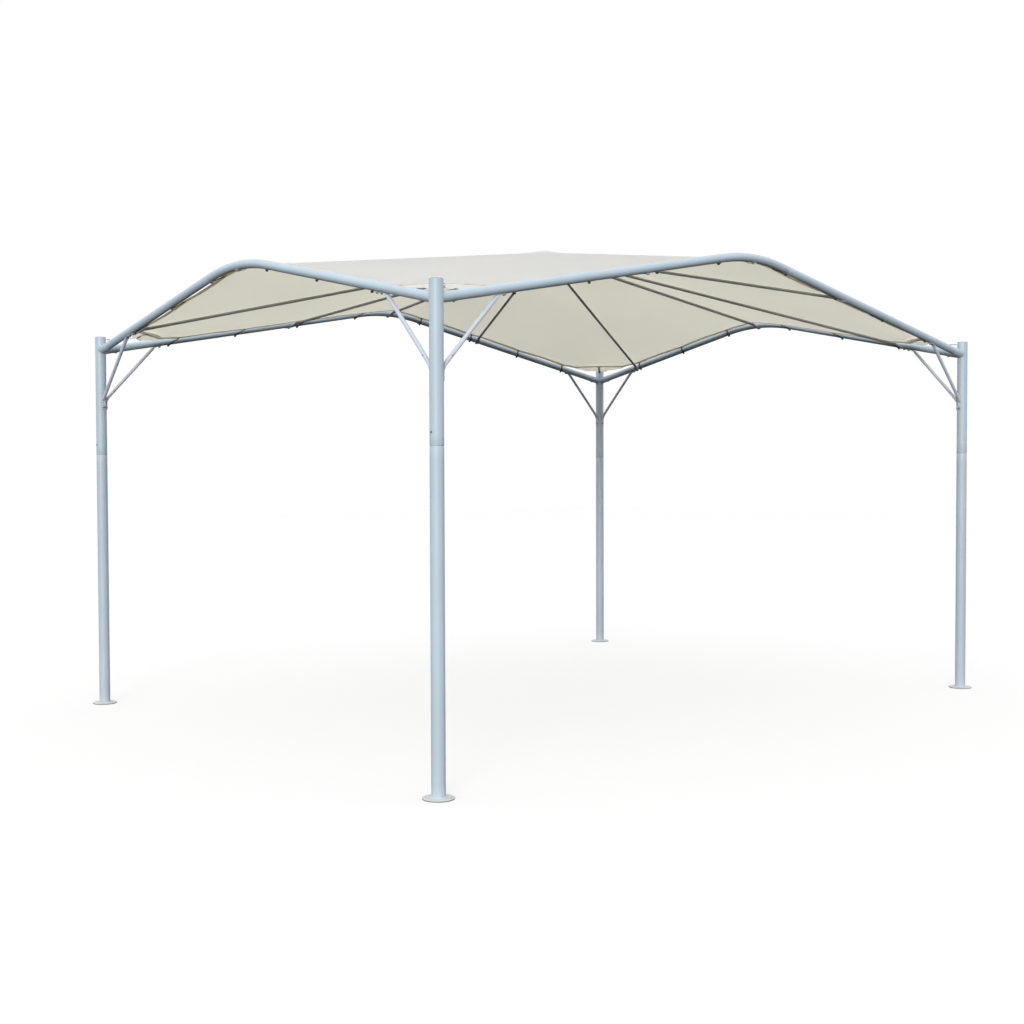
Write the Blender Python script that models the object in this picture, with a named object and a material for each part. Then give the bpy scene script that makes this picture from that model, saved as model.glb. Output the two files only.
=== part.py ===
"""Free-standing sun canopy, built in Blender.

Four round posts stand at the corners of a rectangle. A side beam joins each pair of neighbours: it rises in
a straight line from both posts and turns through a bend at mid-span. Twelve thin spokes run from a raised
hub at the centre to the side beams, and the fabric roof lies on them.

Metres, +Z up. The origin is on the ground under the hub. X runs along the long sides, Y along the short ones.
"""

import math

import bmesh
import bpy
from mathutils import Vector

# Driving dimensions: the footprint and the posts
POST_X = 2.0
POST_Y = 1.5
POST_HEIGHT = 2.06
POST_RADIUS = 0.029
POST_SEAM = 1.40
POST_EDGE = 0.003
FOOT_RADIUS = 0.065
FOOT_THICKNESS = 0.006
FOOT_EDGE = 0.0015
WELD_SIZE = 0.006
ANCHOR_CIRCLE = 0.050
ANCHOR_RADIUS = 0.0045
ANCHOR_COUNT = 4

# The side beams, measured along their centre lines
BEAM_RADIUS = 0.021
BEAM_AT_POST = 1.982
LONG_RISE = 0.385
SHORT_RISE = 0.331
BEND_RADIUS = 1.2
APEX_REACH = 0.27
STUB_LENGTH = 0.10

# The corner braces: round tube with both ends pressed flat
BRACE_RADIUS = 0.009
BRACE_FOOT = 1.705
BRACE_REACH = 0.325
BRACE_TOP_TAB = 0.040
BRACE_FOOT_TAB = 0.050
BRACE_BEND = 0.020
TAB_HALF_THICKNESS = 0.0015
TAB_HALF_WIDTH = 0.011
PRESSED_SHARE = 0.5

# The roof spokes. Their ends are places as (distance inside the beam, height above its centre line)
SPOKE_RADIUS = 0.008
SPOKE_LONG_OFFSET = 0.77
SPOKE_SHORT_OFFSET = 1.115
SPOKE_KNEE = (0.050, -0.002)
SPOKE_PRESSED = (0.038, -0.011)
SPOKE_FLAT = (0.029, -0.019)
SPOKE_UNDER = 0.016
SPOKE_END = -0.014

# The hub that carries the spokes
HUB_RADIUS = 0.055
HUB_TOP = 2.562
HUB_HEIGHT = 0.065
HUB_EDGE = 0.006
HUB_AXIS = 2.548
SOCKET_RADIUS = 0.011
SOCKET_ROOT = 0.044
SOCKET_REACH = 0.150

# The fabric roof, measured on its underside
SHEET_INSET = 0.065
SHEET_LIFT = 0.022
SHEET_SAG = 0.010
SHEET_THICKNESS = 0.003
SHEET_DISC = 0.065
SHEET_STEPS = 14
SHEET_RINGS = 5
CORNER_CUT = 0.17

# Neighbouring pieces keep this gap
GAP = 0.0003
SHEET_GAP = 0.0005

POST_SIDES = 24
BEAM_SIDES = 16
THIN_SIDES = 12
BEND_STEPS = 8
SHARP_ANGLE = math.radians(40)

CORNERS = {
    "front_left": (-1, -1),
    "front_right": (1, -1),
    "back_left": (-1, 1),
    "back_right": (1, 1),
}


def clear_scene():
    for obj in list(bpy.data.objects):
        bpy.data.objects.remove(obj)


def make_material(name, colour, roughness, metallic):
    material = bpy.data.materials.new(name)
    material.use_nodes = True
    shader = material.node_tree.nodes["Principled BSDF"]
    shader.inputs["Base Color"].default_value = (*colour, 1.0)
    shader.inputs["Roughness"].default_value = roughness
    shader.inputs["Metallic"].default_value = metallic
    return material


def link_object(name, mesh, material):
    obj = bpy.data.objects.new(name, mesh)
    bpy.context.scene.collection.objects.link(obj)
    obj.data.materials.append(material)
    return obj


class Side:
    """One side of the roof: its beam's centre line and places measured from it."""

    def __init__(self, name, start, along, inward, half_length, depth, rise):
        self.name = name
        self.start = Vector(start)
        self.along = Vector(along)
        self.inward = Vector(inward)
        self.half_length = half_length
        self.depth = depth
        self.slope = rise / half_length
        self.angle = math.atan(self.slope)
        self.bend_reach = BEND_RADIUS * math.sin(self.angle)
        self.bend_centre = (
            BEAM_AT_POST
            + self.slope * (half_length - self.bend_reach)
            - BEND_RADIUS * math.cos(self.angle)
        )

    def height(self, run):
        """Height of the beam's centre line at a run from the start post."""
        from_middle = abs(run - self.half_length)
        if from_middle < self.bend_reach:
            return self.bend_centre + math.sqrt(BEND_RADIUS**2 - from_middle**2)
        return BEAM_AT_POST + self.slope * (self.half_length - from_middle)

    def slope_at(self, run):
        from_middle = self.half_length - run
        if abs(from_middle) < self.bend_reach:
            return from_middle / math.sqrt(BEND_RADIUS**2 - from_middle**2)
        return math.copysign(self.slope, from_middle)

    def place(self, run, inside, height):
        flat = self.start + self.along * run + self.inward * inside
        return Vector((flat.x, flat.y, height))

    def axis_point(self, run):
        return self.place(run, 0.0, self.height(run))

    def direction(self, run):
        return (self.along + Vector((0, 0, self.slope_at(run)))).normalized()


SIDES = [
    Side("front", (-POST_X, -POST_Y, 0), (1, 0, 0), (0, 1, 0), POST_X, POST_Y, LONG_RISE),
    Side("back", (-POST_X, POST_Y, 0), (1, 0, 0), (0, -1, 0), POST_X, POST_Y, LONG_RISE),
    Side("left", (-POST_X, -POST_Y, 0), (0, 1, 0), (1, 0, 0), POST_Y, POST_X, SHORT_RISE),
    Side("right", (POST_X, -POST_Y, 0), (0, 1, 0), (-1, 0, 0), POST_Y, POST_X, SHORT_RISE),
]


def loft(name, sections, sides, material):
    """A closed body through rings. A section is (centre, tangent, side, half side, half up)."""
    bm = bmesh.new()
    rings = []
    for centre, tangent, side, half_side, half_up in sections:
        forward = Vector(tangent).normalized()
        up = forward.cross(Vector(side)).normalized()
        level = up.cross(forward).normalized()
        ring = []
        for step in range(sides):
            turn = 2 * math.pi * step / sides
            offset = level * (half_side * math.cos(turn)) + up * (half_up * math.sin(turn))
            ring.append(bm.verts.new(Vector(centre) + offset))
        rings.append(ring)
    for first, second in zip(rings, rings[1:]):
        for step in range(sides):
            following = (step + 1) % sides
            bm.faces.new((first[step], first[following], second[following], second[step]))
    bm.faces.new(list(reversed(rings[0])))
    bm.faces.new(rings[-1])
    bmesh.ops.recalc_face_normals(bm, faces=bm.faces)
    mesh = bpy.data.meshes.new(name)
    bm.to_mesh(mesh)
    bm.free()
    mesh.shade_smooth()
    mesh.set_sharp_from_angle(angle=SHARP_ANGLE)
    return link_object(name, mesh, material)


def round_sections(points, side, radius):
    """Sections of a round tube along a run of points."""
    sections = []
    for index, point in enumerate(points):
        before = points[max(index - 1, 0)]
        after = points[min(index + 1, len(points) - 1)]
        sections.append((point, after - before, side, radius, radius))
    return sections


def turned_body(name, profile, sides, material):
    """A closed body of revolution about Z. The profile is (radius, height) from bottom to top."""
    bm = bmesh.new()
    rings = []
    for radius, height in profile:
        turns = [2 * math.pi * step / sides for step in range(sides)]
        ring = [bm.verts.new((radius * math.cos(t), radius * math.sin(t), height)) for t in turns]
        rings.append(ring)
    for lower, upper in zip(rings, rings[1:]):
        for step in range(sides):
            following = (step + 1) % sides
            bm.faces.new((lower[step], lower[following], upper[following], upper[step]))
    bm.faces.new(list(reversed(rings[0])))
    bm.faces.new(rings[-1])
    mesh = bpy.data.meshes.new(name)
    bm.to_mesh(mesh)
    bm.free()
    mesh.shade_smooth()
    mesh.set_sharp_from_angle(angle=SHARP_ANGLE)
    return link_object(name, mesh, material)


def as_cutter(obj):
    """Keep a body that only serves a boolean out of the part."""
    obj.hide_render = True
    obj.display_type = "WIRE"
    return obj


def add_boolean(obj, other, operation):
    modifier = obj.modifiers.new(operation.lower(), "BOOLEAN")
    modifier.operation = operation
    modifier.object = as_cutter(other)


def anchor_hole(name, centre, material):
    profile = [(ANCHOR_RADIUS, -FOOT_THICKNESS), (ANCHOR_RADIUS, 3 * FOOT_THICKNESS)]
    hole = turned_body(name, profile, THIN_SIDES, material)
    hole.location = centre
    return hole


def lower_post(corner, material):
    """Post tube and foot disc, welded, with anchor holes through the disc."""
    sign_x, sign_y = CORNERS[corner]
    centre = Vector((sign_x * POST_X, sign_y * POST_Y, 0.0))
    profile = [
        (FOOT_RADIUS - FOOT_EDGE / 2, 0.0),
        (FOOT_RADIUS, FOOT_EDGE / 2),
        (FOOT_RADIUS, FOOT_THICKNESS - FOOT_EDGE),
        (FOOT_RADIUS - FOOT_EDGE, FOOT_THICKNESS),
        (POST_RADIUS + WELD_SIZE, FOOT_THICKNESS),
        (POST_RADIUS + WELD_SIZE / 3, FOOT_THICKNESS + WELD_SIZE / 3),
        (POST_RADIUS, FOOT_THICKNESS + WELD_SIZE),
        (POST_RADIUS, POST_SEAM),
    ]
    post = turned_body("lower_post_" + corner, profile, POST_SIDES, material)
    post.location = centre
    for index in range(ANCHOR_COUNT):
        turn = 2 * math.pi * (index + 0.5) / ANCHOR_COUNT
        offset = Vector((math.cos(turn), math.sin(turn), 0.0)) * ANCHOR_CIRCLE
        hole = anchor_hole("anchor_cut_" + corner + str(index), centre + offset, material)
        add_boolean(post, hole, "DIFFERENCE")
    return post


def corner_run(side, corner):
    """The run of a corner's post along a side's beam, and the way along the beam that leads from it."""
    sign_x, sign_y = CORNERS[corner]
    post = Vector((sign_x * POST_X, sign_y * POST_Y, 0.0))
    run = (post - side.start).dot(side.along)
    away = 1 if run < side.half_length else -1
    return run, away


def sides_at(corner):
    sign_x, sign_y = CORNERS[corner]
    along_x = SIDES[0] if sign_y < 0 else SIDES[1]
    along_y = SIDES[2] if sign_x < 0 else SIDES[3]
    return [along_x, along_y]


def upper_post(corner, material):
    """The upper tube with its closed top and the two beam stubs welded to it."""
    sign_x, sign_y = CORNERS[corner]
    profile = [
        (POST_RADIUS, POST_SEAM + GAP),
        (POST_RADIUS, POST_HEIGHT - POST_EDGE),
        (POST_RADIUS - POST_EDGE / 3, POST_HEIGHT - POST_EDGE / 3),
        (POST_RADIUS - POST_EDGE, POST_HEIGHT),
    ]
    post = turned_body("upper_post_" + corner, profile, POST_SIDES, material)
    post.location = (sign_x * POST_X, sign_y * POST_Y, 0.0)
    for side in sides_at(corner):
        run, away = corner_run(side, corner)
        ends = [side.axis_point(run), side.axis_point(run + away * STUB_LENGTH)]
        sections = round_sections(ends, side.inward, BEAM_RADIUS)
        stub = loft("stub_" + side.name + "_" + corner, sections, BEAM_SIDES, material)
        add_boolean(post, stub, "UNION")
    return post


def beam_pieces(side, material):
    """The side beam: a straight tube, the bent apex tube and another straight tube."""
    middle = side.half_length
    length = 2 * side.half_length
    straight_runs = {
        side.name + "_beam_start": (STUB_LENGTH + GAP, middle - APEX_REACH - GAP),
        side.name + "_beam_end": (middle + APEX_REACH + GAP, length - STUB_LENGTH - GAP),
    }
    for name, (first, last) in straight_runs.items():
        points = [side.axis_point(first), side.axis_point(last)]
        loft(name, round_sections(points, side.inward, BEAM_RADIUS), BEAM_SIDES, material)
    sections = []
    runs = [middle - APEX_REACH]
    runs += [
        middle + side.bend_reach * (2 * step / BEND_STEPS - 1) for step in range(BEND_STEPS + 1)
    ]
    runs += [middle + APEX_REACH]
    for run in runs:
        point = side.axis_point(run)
        sections.append((point, side.direction(run), side.inward, BEAM_RADIUS, BEAM_RADIUS))
    loft(side.name + "_apex_tube", sections, BEAM_SIDES, material)


def brace(side, corner, material):
    """A round tube whose flat end tabs lie on the post and under the beam."""
    run, away = corner_run(side, corner)
    flat_gap = TAB_HALF_THICKNESS + GAP
    on_post = POST_RADIUS + flat_gap

    def under_beam(reach):
        drop = (BEAM_RADIUS + flat_gap) * math.sqrt(1 + side.slope**2)
        return BEAM_AT_POST + side.slope * reach - drop

    def at(reach, height):
        return side.place(run + away * reach, 0.0, height)

    tube = (BRACE_RADIUS, BRACE_RADIUS)
    pressed = (TAB_HALF_WIDTH, BRACE_RADIUS * PRESSED_SHARE)
    flat = (TAB_HALF_WIDTH, TAB_HALF_THICKNESS)
    slack = BRACE_RADIUS * PRESSED_SHARE
    top_end = BRACE_REACH + BRACE_TOP_TAB
    path = [
        (at(on_post, BRACE_FOOT - BRACE_FOOT_TAB), flat),
        (at(on_post, BRACE_FOOT - slack), flat),
        (at(on_post + slack, BRACE_FOOT + slack), pressed),
        (at(on_post + BRACE_BEND / 2, BRACE_FOOT + BRACE_BEND), tube),
        (at(BRACE_REACH - BRACE_BEND, under_beam(BRACE_REACH) - BRACE_BEND), tube),
        (at(BRACE_REACH - slack, under_beam(BRACE_REACH) - slack), pressed),
        (at(BRACE_REACH + slack, under_beam(BRACE_REACH + slack)), flat),
        (at(top_end, under_beam(top_end)), flat),
    ]
    name = "brace_" + side.name + "_" + corner
    loft(name, path_sections(path, side.inward), THIN_SIDES, material)


def path_sections(path, side_direction):
    """Sections along (point, half sizes) pairs, each ring halfway between its neighbours' directions."""
    sections = []
    for index, (point, halves) in enumerate(path):
        before = path[max(index - 1, 0)][0]
        after = path[min(index + 1, len(path) - 1)][0]
        incoming = (point - before).normalized()
        outgoing = (after - point).normalized()
        sections.append((point, incoming + outgoing, side_direction, halves[0], halves[1]))
    return sections


def spoke_targets():
    """Each spoke's name, its side and the run along that side where it ends."""
    targets = []
    for side in SIDES:
        offset = SPOKE_LONG_OFFSET if side.name in ("front", "back") else SPOKE_SHORT_OFFSET
        for label, shift in (("start", -offset), ("middle", 0.0), ("end", offset)):
            targets.append(("spoke_" + side.name + "_" + label, side, side.half_length + shift))
    return targets


def spoke_place(side, run, inside, lift):
    """A point of a spoke, at a distance inside the beam and a height above the beam's centre line."""
    towards_middle = (side.half_length - run) * inside / side.depth
    here = run + towards_middle
    return side.place(here, inside, side.height(here) + lift)


def spoke_knee(side, run):
    return spoke_place(side, run, *SPOKE_KNEE)


def spoke(name, side, run, material):
    """A straight tube from its socket, whose flat end bends down and passes under the beam."""
    centre = Vector((0.0, 0.0, HUB_AXIS))
    knee = spoke_knee(side, run)
    away = (knee - centre).normalized()
    drop = (BEAM_RADIUS + TAB_HALF_THICKNESS + GAP) * math.sqrt(1 + side.slope_at(run) ** 2)
    tube = (SPOKE_RADIUS, SPOKE_RADIUS)
    pressed = (TAB_HALF_WIDTH, SPOKE_RADIUS * PRESSED_SHARE)
    flat = (TAB_HALF_WIDTH, TAB_HALF_THICKNESS)
    path = [
        (centre + away * (SOCKET_REACH + GAP), tube),
        (knee, tube),
        (spoke_place(side, run, *SPOKE_PRESSED), pressed),
        (spoke_place(side, run, *SPOKE_FLAT), flat),
        (spoke_place(side, run, SPOKE_UNDER, -drop), flat),
        (spoke_place(side, run, SPOKE_END, -drop), flat),
    ]
    level = Vector((0, 0, 1)).cross(away).normalized()
    beam_line = side.direction(run)
    if beam_line.dot(level) < 0:
        beam_line = -beam_line
    sections = []
    for point, tangent, width_line, half_side, half_up in path_sections(path, level):
        if (half_side, half_up) == flat:
            width_line = beam_line
        sections.append((point, tangent, width_line, half_side, half_up))
    loft(name, sections, THIN_SIDES, material)


def hub(material):
    """A short closed drum with one socket for each spoke."""
    bottom = HUB_TOP - HUB_HEIGHT
    profile = [
        (HUB_RADIUS - HUB_EDGE / 2, bottom),
        (HUB_RADIUS, bottom + HUB_EDGE / 2),
        (HUB_RADIUS, HUB_TOP - HUB_EDGE),
        (HUB_RADIUS - HUB_EDGE / 3, HUB_TOP - HUB_EDGE / 3),
        (HUB_RADIUS - HUB_EDGE, HUB_TOP),
    ]
    drum = turned_body("hub", profile, POST_SIDES, material)
    centre = Vector((0.0, 0.0, HUB_AXIS))
    for name, side, run in spoke_targets():
        away = (spoke_knee(side, run) - centre).normalized()
        ends = [centre + away * SOCKET_ROOT, centre + away * SOCKET_REACH]
        level = Vector((0, 0, 1)).cross(away)
        sections = round_sections(ends, level, SOCKET_RADIUS)
        socket = loft(name.replace("spoke", "socket"), sections, THIN_SIDES, material)
        add_boolean(drum, socket, "UNION")
    return drum


def sheet_edge():
    """Points round the fabric's edge, on its underside, in order round the roof."""
    front, back, left, right = SIDES
    points = []
    for side, way in ((front, 1), (right, 1), (back, -1), (left, -1)):
        first = SHEET_INSET + CORNER_CUT
        last = 2 * side.half_length - first
        runs = [first + (last - first) * step / SHEET_STEPS for step in range(SHEET_STEPS + 1)]
        if way < 0:
            runs.reverse()
        for run in runs:
            points.append(side.place(run, SHEET_INSET, side.height(run) + SHEET_LIFT))
    return points


def sheet_rings(bm, edge, thickness):
    """Rings of the fabric's surface, from a flat disc over the hub out to the edge, with a light sag."""
    rings = []
    for index in range(SHEET_RINGS):
        share = index / (SHEET_RINGS - 1)
        lift = thickness - SHEET_SAG * 4 * share * (1 - share)
        ring = []
        for point in edge:
            inner = Vector((point.x, point.y, 0.0)).normalized() * SHEET_DISC
            inner.z = HUB_TOP + SHEET_GAP
            ring.append(bm.verts.new(inner.lerp(point, share) + Vector((0, 0, lift))))
        rings.append(ring)
    return rings


def canopy_sheet(material):
    """The fabric roof as a thin closed body."""
    edge = sheet_edge()
    count = len(edge)
    bm = bmesh.new()
    lower = sheet_rings(bm, edge, 0.0)
    upper = sheet_rings(bm, edge, SHEET_THICKNESS)
    for rings in (lower, upper):
        for inner, outer in zip(rings, rings[1:]):
            for step in range(count):
                after = (step + 1) % count
                bm.faces.new((inner[step], outer[step], outer[after], inner[after]))
        bm.faces.new(rings[0])
    for step in range(count):
        after = (step + 1) % count
        bm.faces.new((upper[-1][step], lower[-1][step], lower[-1][after], upper[-1][after]))
    bmesh.ops.recalc_face_normals(bm, faces=bm.faces)
    mesh = bpy.data.meshes.new("canopy_sheet")
    bm.to_mesh(mesh)
    bm.free()
    return link_object("canopy_sheet", mesh, material)


def build():
    clear_scene()
    frame_paint = make_material("frame_paint", (0.42, 0.50, 0.56), 0.35, 0.0)
    brace_paint = make_material("brace_paint", (0.46, 0.52, 0.58), 0.35, 0.0)
    spoke_paint = make_material("spoke_paint", (0.44, 0.50, 0.55), 0.4, 0.0)
    cloth = make_material("canopy_cloth", (0.76, 0.73, 0.65), 0.9, 0.0)
    for corner in CORNERS:
        lower_post(corner, frame_paint)
        upper_post(corner, frame_paint)
        for side in sides_at(corner):
            brace(side, corner, brace_paint)
    for side in SIDES:
        beam_pieces(side, frame_paint)
    for name, side, run in spoke_targets():
        spoke(name, side, run, spoke_paint)
    hub(frame_paint)
    canopy_sheet(cloth)


build()
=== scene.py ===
"""Looks of the free-standing sun canopy: painted steel tubes, a stretched pale roof and its elastic ties.

Metres, +Z up. The origin is on the ground under the hub. X runs along the long sides, Y along the short ones.
"""

import math

import bmesh
import bpy
import numpy as np
from mathutils import Matrix, Vector


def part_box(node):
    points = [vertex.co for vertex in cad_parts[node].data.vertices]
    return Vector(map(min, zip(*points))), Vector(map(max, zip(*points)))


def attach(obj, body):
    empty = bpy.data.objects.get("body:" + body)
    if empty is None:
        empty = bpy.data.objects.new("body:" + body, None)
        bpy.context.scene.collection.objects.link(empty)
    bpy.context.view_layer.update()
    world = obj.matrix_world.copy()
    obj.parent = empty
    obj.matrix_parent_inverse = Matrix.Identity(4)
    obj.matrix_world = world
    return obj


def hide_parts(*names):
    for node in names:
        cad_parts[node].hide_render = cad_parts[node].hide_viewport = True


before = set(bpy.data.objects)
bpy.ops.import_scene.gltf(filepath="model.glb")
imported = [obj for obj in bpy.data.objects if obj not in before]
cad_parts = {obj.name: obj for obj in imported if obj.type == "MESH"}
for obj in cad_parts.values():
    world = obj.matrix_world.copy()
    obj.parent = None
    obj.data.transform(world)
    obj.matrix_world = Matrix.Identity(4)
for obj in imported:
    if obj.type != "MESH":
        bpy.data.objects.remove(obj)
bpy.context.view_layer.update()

FOOT_LOW, FOOT_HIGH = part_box("lower_post_front_right")
UP = Vector((0.0, 0.0, 1.0))

# The camera, fitted to the photograph's post feet, post tops and beams
CAMERA_PLACE = (-5.2965, -5.6036, 1.2992)
CAMERA_YAW = 0.7329
CAMERA_PITCH = -0.0304
CAMERA_ROLL = -0.0032
CAMERA_LENS = 46.81

# Posts. Their places and heights come from the frame
POST_X = (FOOT_LOW.x + FOOT_HIGH.x) / 2
POST_Y = -(FOOT_LOW.y + FOOT_HIGH.y) / 2
POST_SEAM = FOOT_HIGH.z
POST_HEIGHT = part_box("upper_post_front_right")[1].z
POST_RADIUS = 0.029
FOOT_RADIUS = (FOOT_HIGH.x - FOOT_LOW.x) / 2
FOOT_THICKNESS = 0.006
FOOT_EDGE = 0.0015
ANCHOR_CIRCLE = 0.050
ANCHOR_RADIUS = 0.0045
ANCHOR_COUNT = 4
CAP_HEIGHT = 0.004
CAP_STEP = -0.0002
SEAM_GAP = 0.0014
SEAM_BOLT_HEIGHT = 0.057

# Side beams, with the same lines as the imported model
BEAM_RADIUS = 0.021
BEAM_AT_POST = 1.982
LONG_RISE = 0.385
SHORT_RISE = 0.331
BEND_RADIUS = 1.2
APEX_REACH = 0.27
STUB_LENGTH = 0.10
BEAM_BOLT_SHIFT = 0.014

# Corner braces
BRACE_RADIUS = 0.009
BRACE_FOOT = 1.705
BRACE_REACH = 0.325
BRACE_TOP_TAB = 0.040
BRACE_FOOT_TAB = 0.050
BRACE_BEND = 0.020
BRACE_TOP_BOLT = 0.028
BRACE_FOOT_BOLT = 0.038
BRACE_VENT = 0.050
TAB_HALF_THICKNESS = 0.0015
TAB_HALF_WIDTH = 0.011
PRESSED_SHARE = 0.5
TOUCH_GAP = 0.0003

# Roof spokes. Their ends are places as (distance inside the beam, height above its centre line)
SPOKE_RADIUS = 0.008
SPOKE_LONG_OFFSET = 0.77
SPOKE_SHORT_OFFSET = 1.115
SPOKE_KNEE = (0.050, -0.002)
SPOKE_PRESSED = (0.038, -0.011)
SPOKE_FLAT = (0.029, -0.019)
SPOKE_UNDER = 0.016
SPOKE_END = -0.014
HUB_RADIUS = 0.055
HUB_TOP = 2.562
HUB_DOME = 0.004
DRUM_REACH = 1.4
HUB_HEIGHT = 0.065
HUB_EDGE = 0.006
HUB_AXIS = 2.548
SOCKET_RADIUS = 0.011
SOCKET_ROOT = 0.044
SOCKET_REACH = 0.150
SOCKET_SCREW = 0.128

# The fabric roof
CLOTH_THICKNESS = 0.0008
HEM_WIDTH = 0.026
HEM_FOLD = 0.0008
HEM_STEP = 0.0185
TIE_INSET = 0.044
TIE_LIFT = 0.001
TIE_RISE = 0.012
BAY_LENGTH = 0.44
BAY_INSET = 0.013
BAY_LIFT = 0.002
SPOKE_OVER = 0.0095
SPOKE_TENT = 0.07
LONG_TIES = (0.24, 0.68, 1.12, 1.56)
SHORT_TIES = (0.23, 0.64, 1.05)
CORNER_LONG = (0.33, 0.060)
CORNER_SHORT = (0.31, 0.060)
CORNER_LIFT = 0.020
CORNER_MIDDLE = (0.180, 0.170, 2.075)
CORNER_STEPS = 22
INNER_RINGS = 34
RING_GRADING = 1.4
EDGE_RINGS = (0.060, 0.040, HEM_WIDTH + 0.0012, HEM_WIDTH, 0.013, 0.0010, 0.0)
SOLVED_EDGE_RINGS = (0.060, 0.040, HEM_WIDTH, 0.0)
SHEET_DISC = 0.030
SPOKE_CLEARANCE = 0.0006
CONE_SHARE = 0.12
CONTACT_ROUNDS = 8
SOLVER_STEPS = 700
SOLVER_LIMIT = 1e-12
PUCKER_DEPTH = 0.0022
PUCKER_REACH = 0.12
PUCKER_WIDTH = 0.10
PUCKER_PITCH = 0.055
FLUTTER_DEPTH = 0.0012

# Stitches, eyelets and elastic ties
STITCH_PITCH = 0.0080
STITCH_LENGTH = 0.0056
STITCH_RADIUS = 0.0004
STITCH_INSET = HEM_WIDTH - 0.003
SEAM_TAPE_WIDTH = 0.016
SEAM_TAPE_HEIGHT = 0.0006
EYELET_INSET = 0.013
EYELET_HOLE = 0.0050
EYELET_RIM = 0.0088
EYELET_BULGE = 0.0007
CORD_RADIUS = 0.0020
CORD_SPREAD = 0.0048
TIE_SLANT = 0.030

# Corner flaps and the straps that pull them to the posts
FLAP_REACH = 0.042
FLAP_DROP = 0.027
FLAP_LAP = 0.020
FLAP_THICKNESS = 0.0010
FLAP_COLUMNS = 64
FLAP_ROWS = 12
STRAP_WIDTH = 0.016
STRAP_THICKNESS = 0.0016
STRAP_POST_HEIGHT = 2.044
TAB_REACH = 0.024

# Welds and fasteners. A bolt's outlines are (radius, height) along its axis
WELD_POINTS = 160
WELD_RIPPLE = 0.14
WELD_STEPS_PER_RIPPLE = 4
FOOT_WELD = 0.0046
FOOT_WELD_LIFT = 0.0008
STUB_RADIUS = BEAM_RADIUS + 0.0012
STUB_WELD = 0.0030
SOCKET_WELD = 0.0018
ANCHOR_BEVEL = 0.0004
BOLT_WASHER = ((0.0070, 0.0), (0.0074, 0.0003), (0.0074, 0.0009), (0.0068, 0.0012))
BOLT_HEAD = (
    (0.0058, 0.0010),
    (0.0060, 0.0016),
    (0.0057, 0.0028),
    (0.0049, 0.0040),
    (0.0036, 0.0047),
    (0.0024, 0.0048),
    (0.0023, 0.0046),
    (0.0022, 0.0026),
)
BOLT_SOCKET_FROM = 5
RIVET = ((0.0034, -0.0012), (0.0036, 0.0002), (0.0031, 0.0011), (0.0018, 0.0015), (0.0010, 0.0012))
POST_BOLT_SIZE = 0.85
BEAM_BOLT_SIZE = 0.85
BRACE_BOLT_SIZE = 1.05
SPOKE_BOLT_SIZE = 1.0
HUB_SCREW_SIZE = 0.55
BUTTON = (
    (0.0046, -0.0010),
    (0.0044, 0.0048),
    (0.0064, 0.0054),
    (0.0070, 0.0064),
    (0.0067, 0.0078),
    (0.0052, 0.0089),
    (0.0028, 0.0094),
    (0.0010, 0.0095),
)
SEAM_TAPE_STEPS = 240
FLAP_CREASE = 0.0035
FLAP_GAP = 0.0030

# Colours, as linear red, green and blue
FRAME_COLOUR = (0.375, 0.455, 0.52)
BRACE_COLOUR = (0.46, 0.50, 0.57)
# The spokes have the frame's paint. This darker, greyer colour is painted shade from the cream roof above them.
SPOKE_SHADED_COLOUR = (0.40, 0.405, 0.40)
DUST_COLOUR = (0.53, 0.52, 0.48)
# Near-black colour for the bottom few millimetres of the feet: ground dirt and painted contact shade.
GROUND_DIRT_AND_SHADE_COLOUR = (0.10, 0.105, 0.10)
WORN_COLOUR = (0.70, 0.72, 0.74)
BOLT_COLOUR = (0.34, 0.345, 0.35)
EYELET_COLOUR = (0.55, 0.54, 0.52)
CAP_COLOUR = (0.27, 0.32, 0.36)
BUTTON_COLOUR = (0.020, 0.020, 0.022)
ELASTIC_COLOUR = (0.045, 0.045, 0.050)
WEBBING_COLOUR = (0.115, 0.105, 0.075)
THREAD_COLOUR = (0.74, 0.71, 0.62)
CLOTH_COLOUR = (0.965, 0.97, 0.985)
CLOTH_GLOW = (0.985, 0.97, 0.90)
CLOTH_THROUGH = 0.66
HEM_COLOUR = (0.80, 0.77, 0.66)
HEM_GLOW = (0.75, 0.71, 0.55)
HEM_THROUGH = 0.50
SOIL_COLOUR = (0.66, 0.62, 0.52)
THREAD_PITCH = 0.0012
WEAR_RADIUS = 0.0016
WEAR_SAMPLES = 4

# Light and floor
SKY_COLOUR = (1.0, 1.0, 1.0)
SKY_LIGHT = 1.27
GROUND_LIGHT = 0.05
HORIZON_LOW = -0.02
HORIZON_HIGH = 0.05
SOFT_BOX_PLACE = (-31.5, -23.6, 8.6)
SOFT_BOX_AIM = (0.0, 0.0, 1.6)
SOFT_BOX_SIZE = 14.0
SOFT_BOX_POWER = 10600.0
FLOOR_HALF = 30.0
FLOOR_GLOW = 0.54
FLOOR_DIFFUSE = (0.35, 0.35, 0.35)

CORNERS = {
    "front_left": (-1, -1),
    "front_right": (1, -1),
    "back_left": (-1, 1),
    "back_right": (1, 1),
}
POST_SIDES = 48
BEAM_SIDES = 40
THIN_SIDES = 24
CORD_SIDES = 8
BEND_STEPS = 28
TUBE_LIP = 0.0015
SHARP_ANGLE = math.radians(40)


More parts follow.
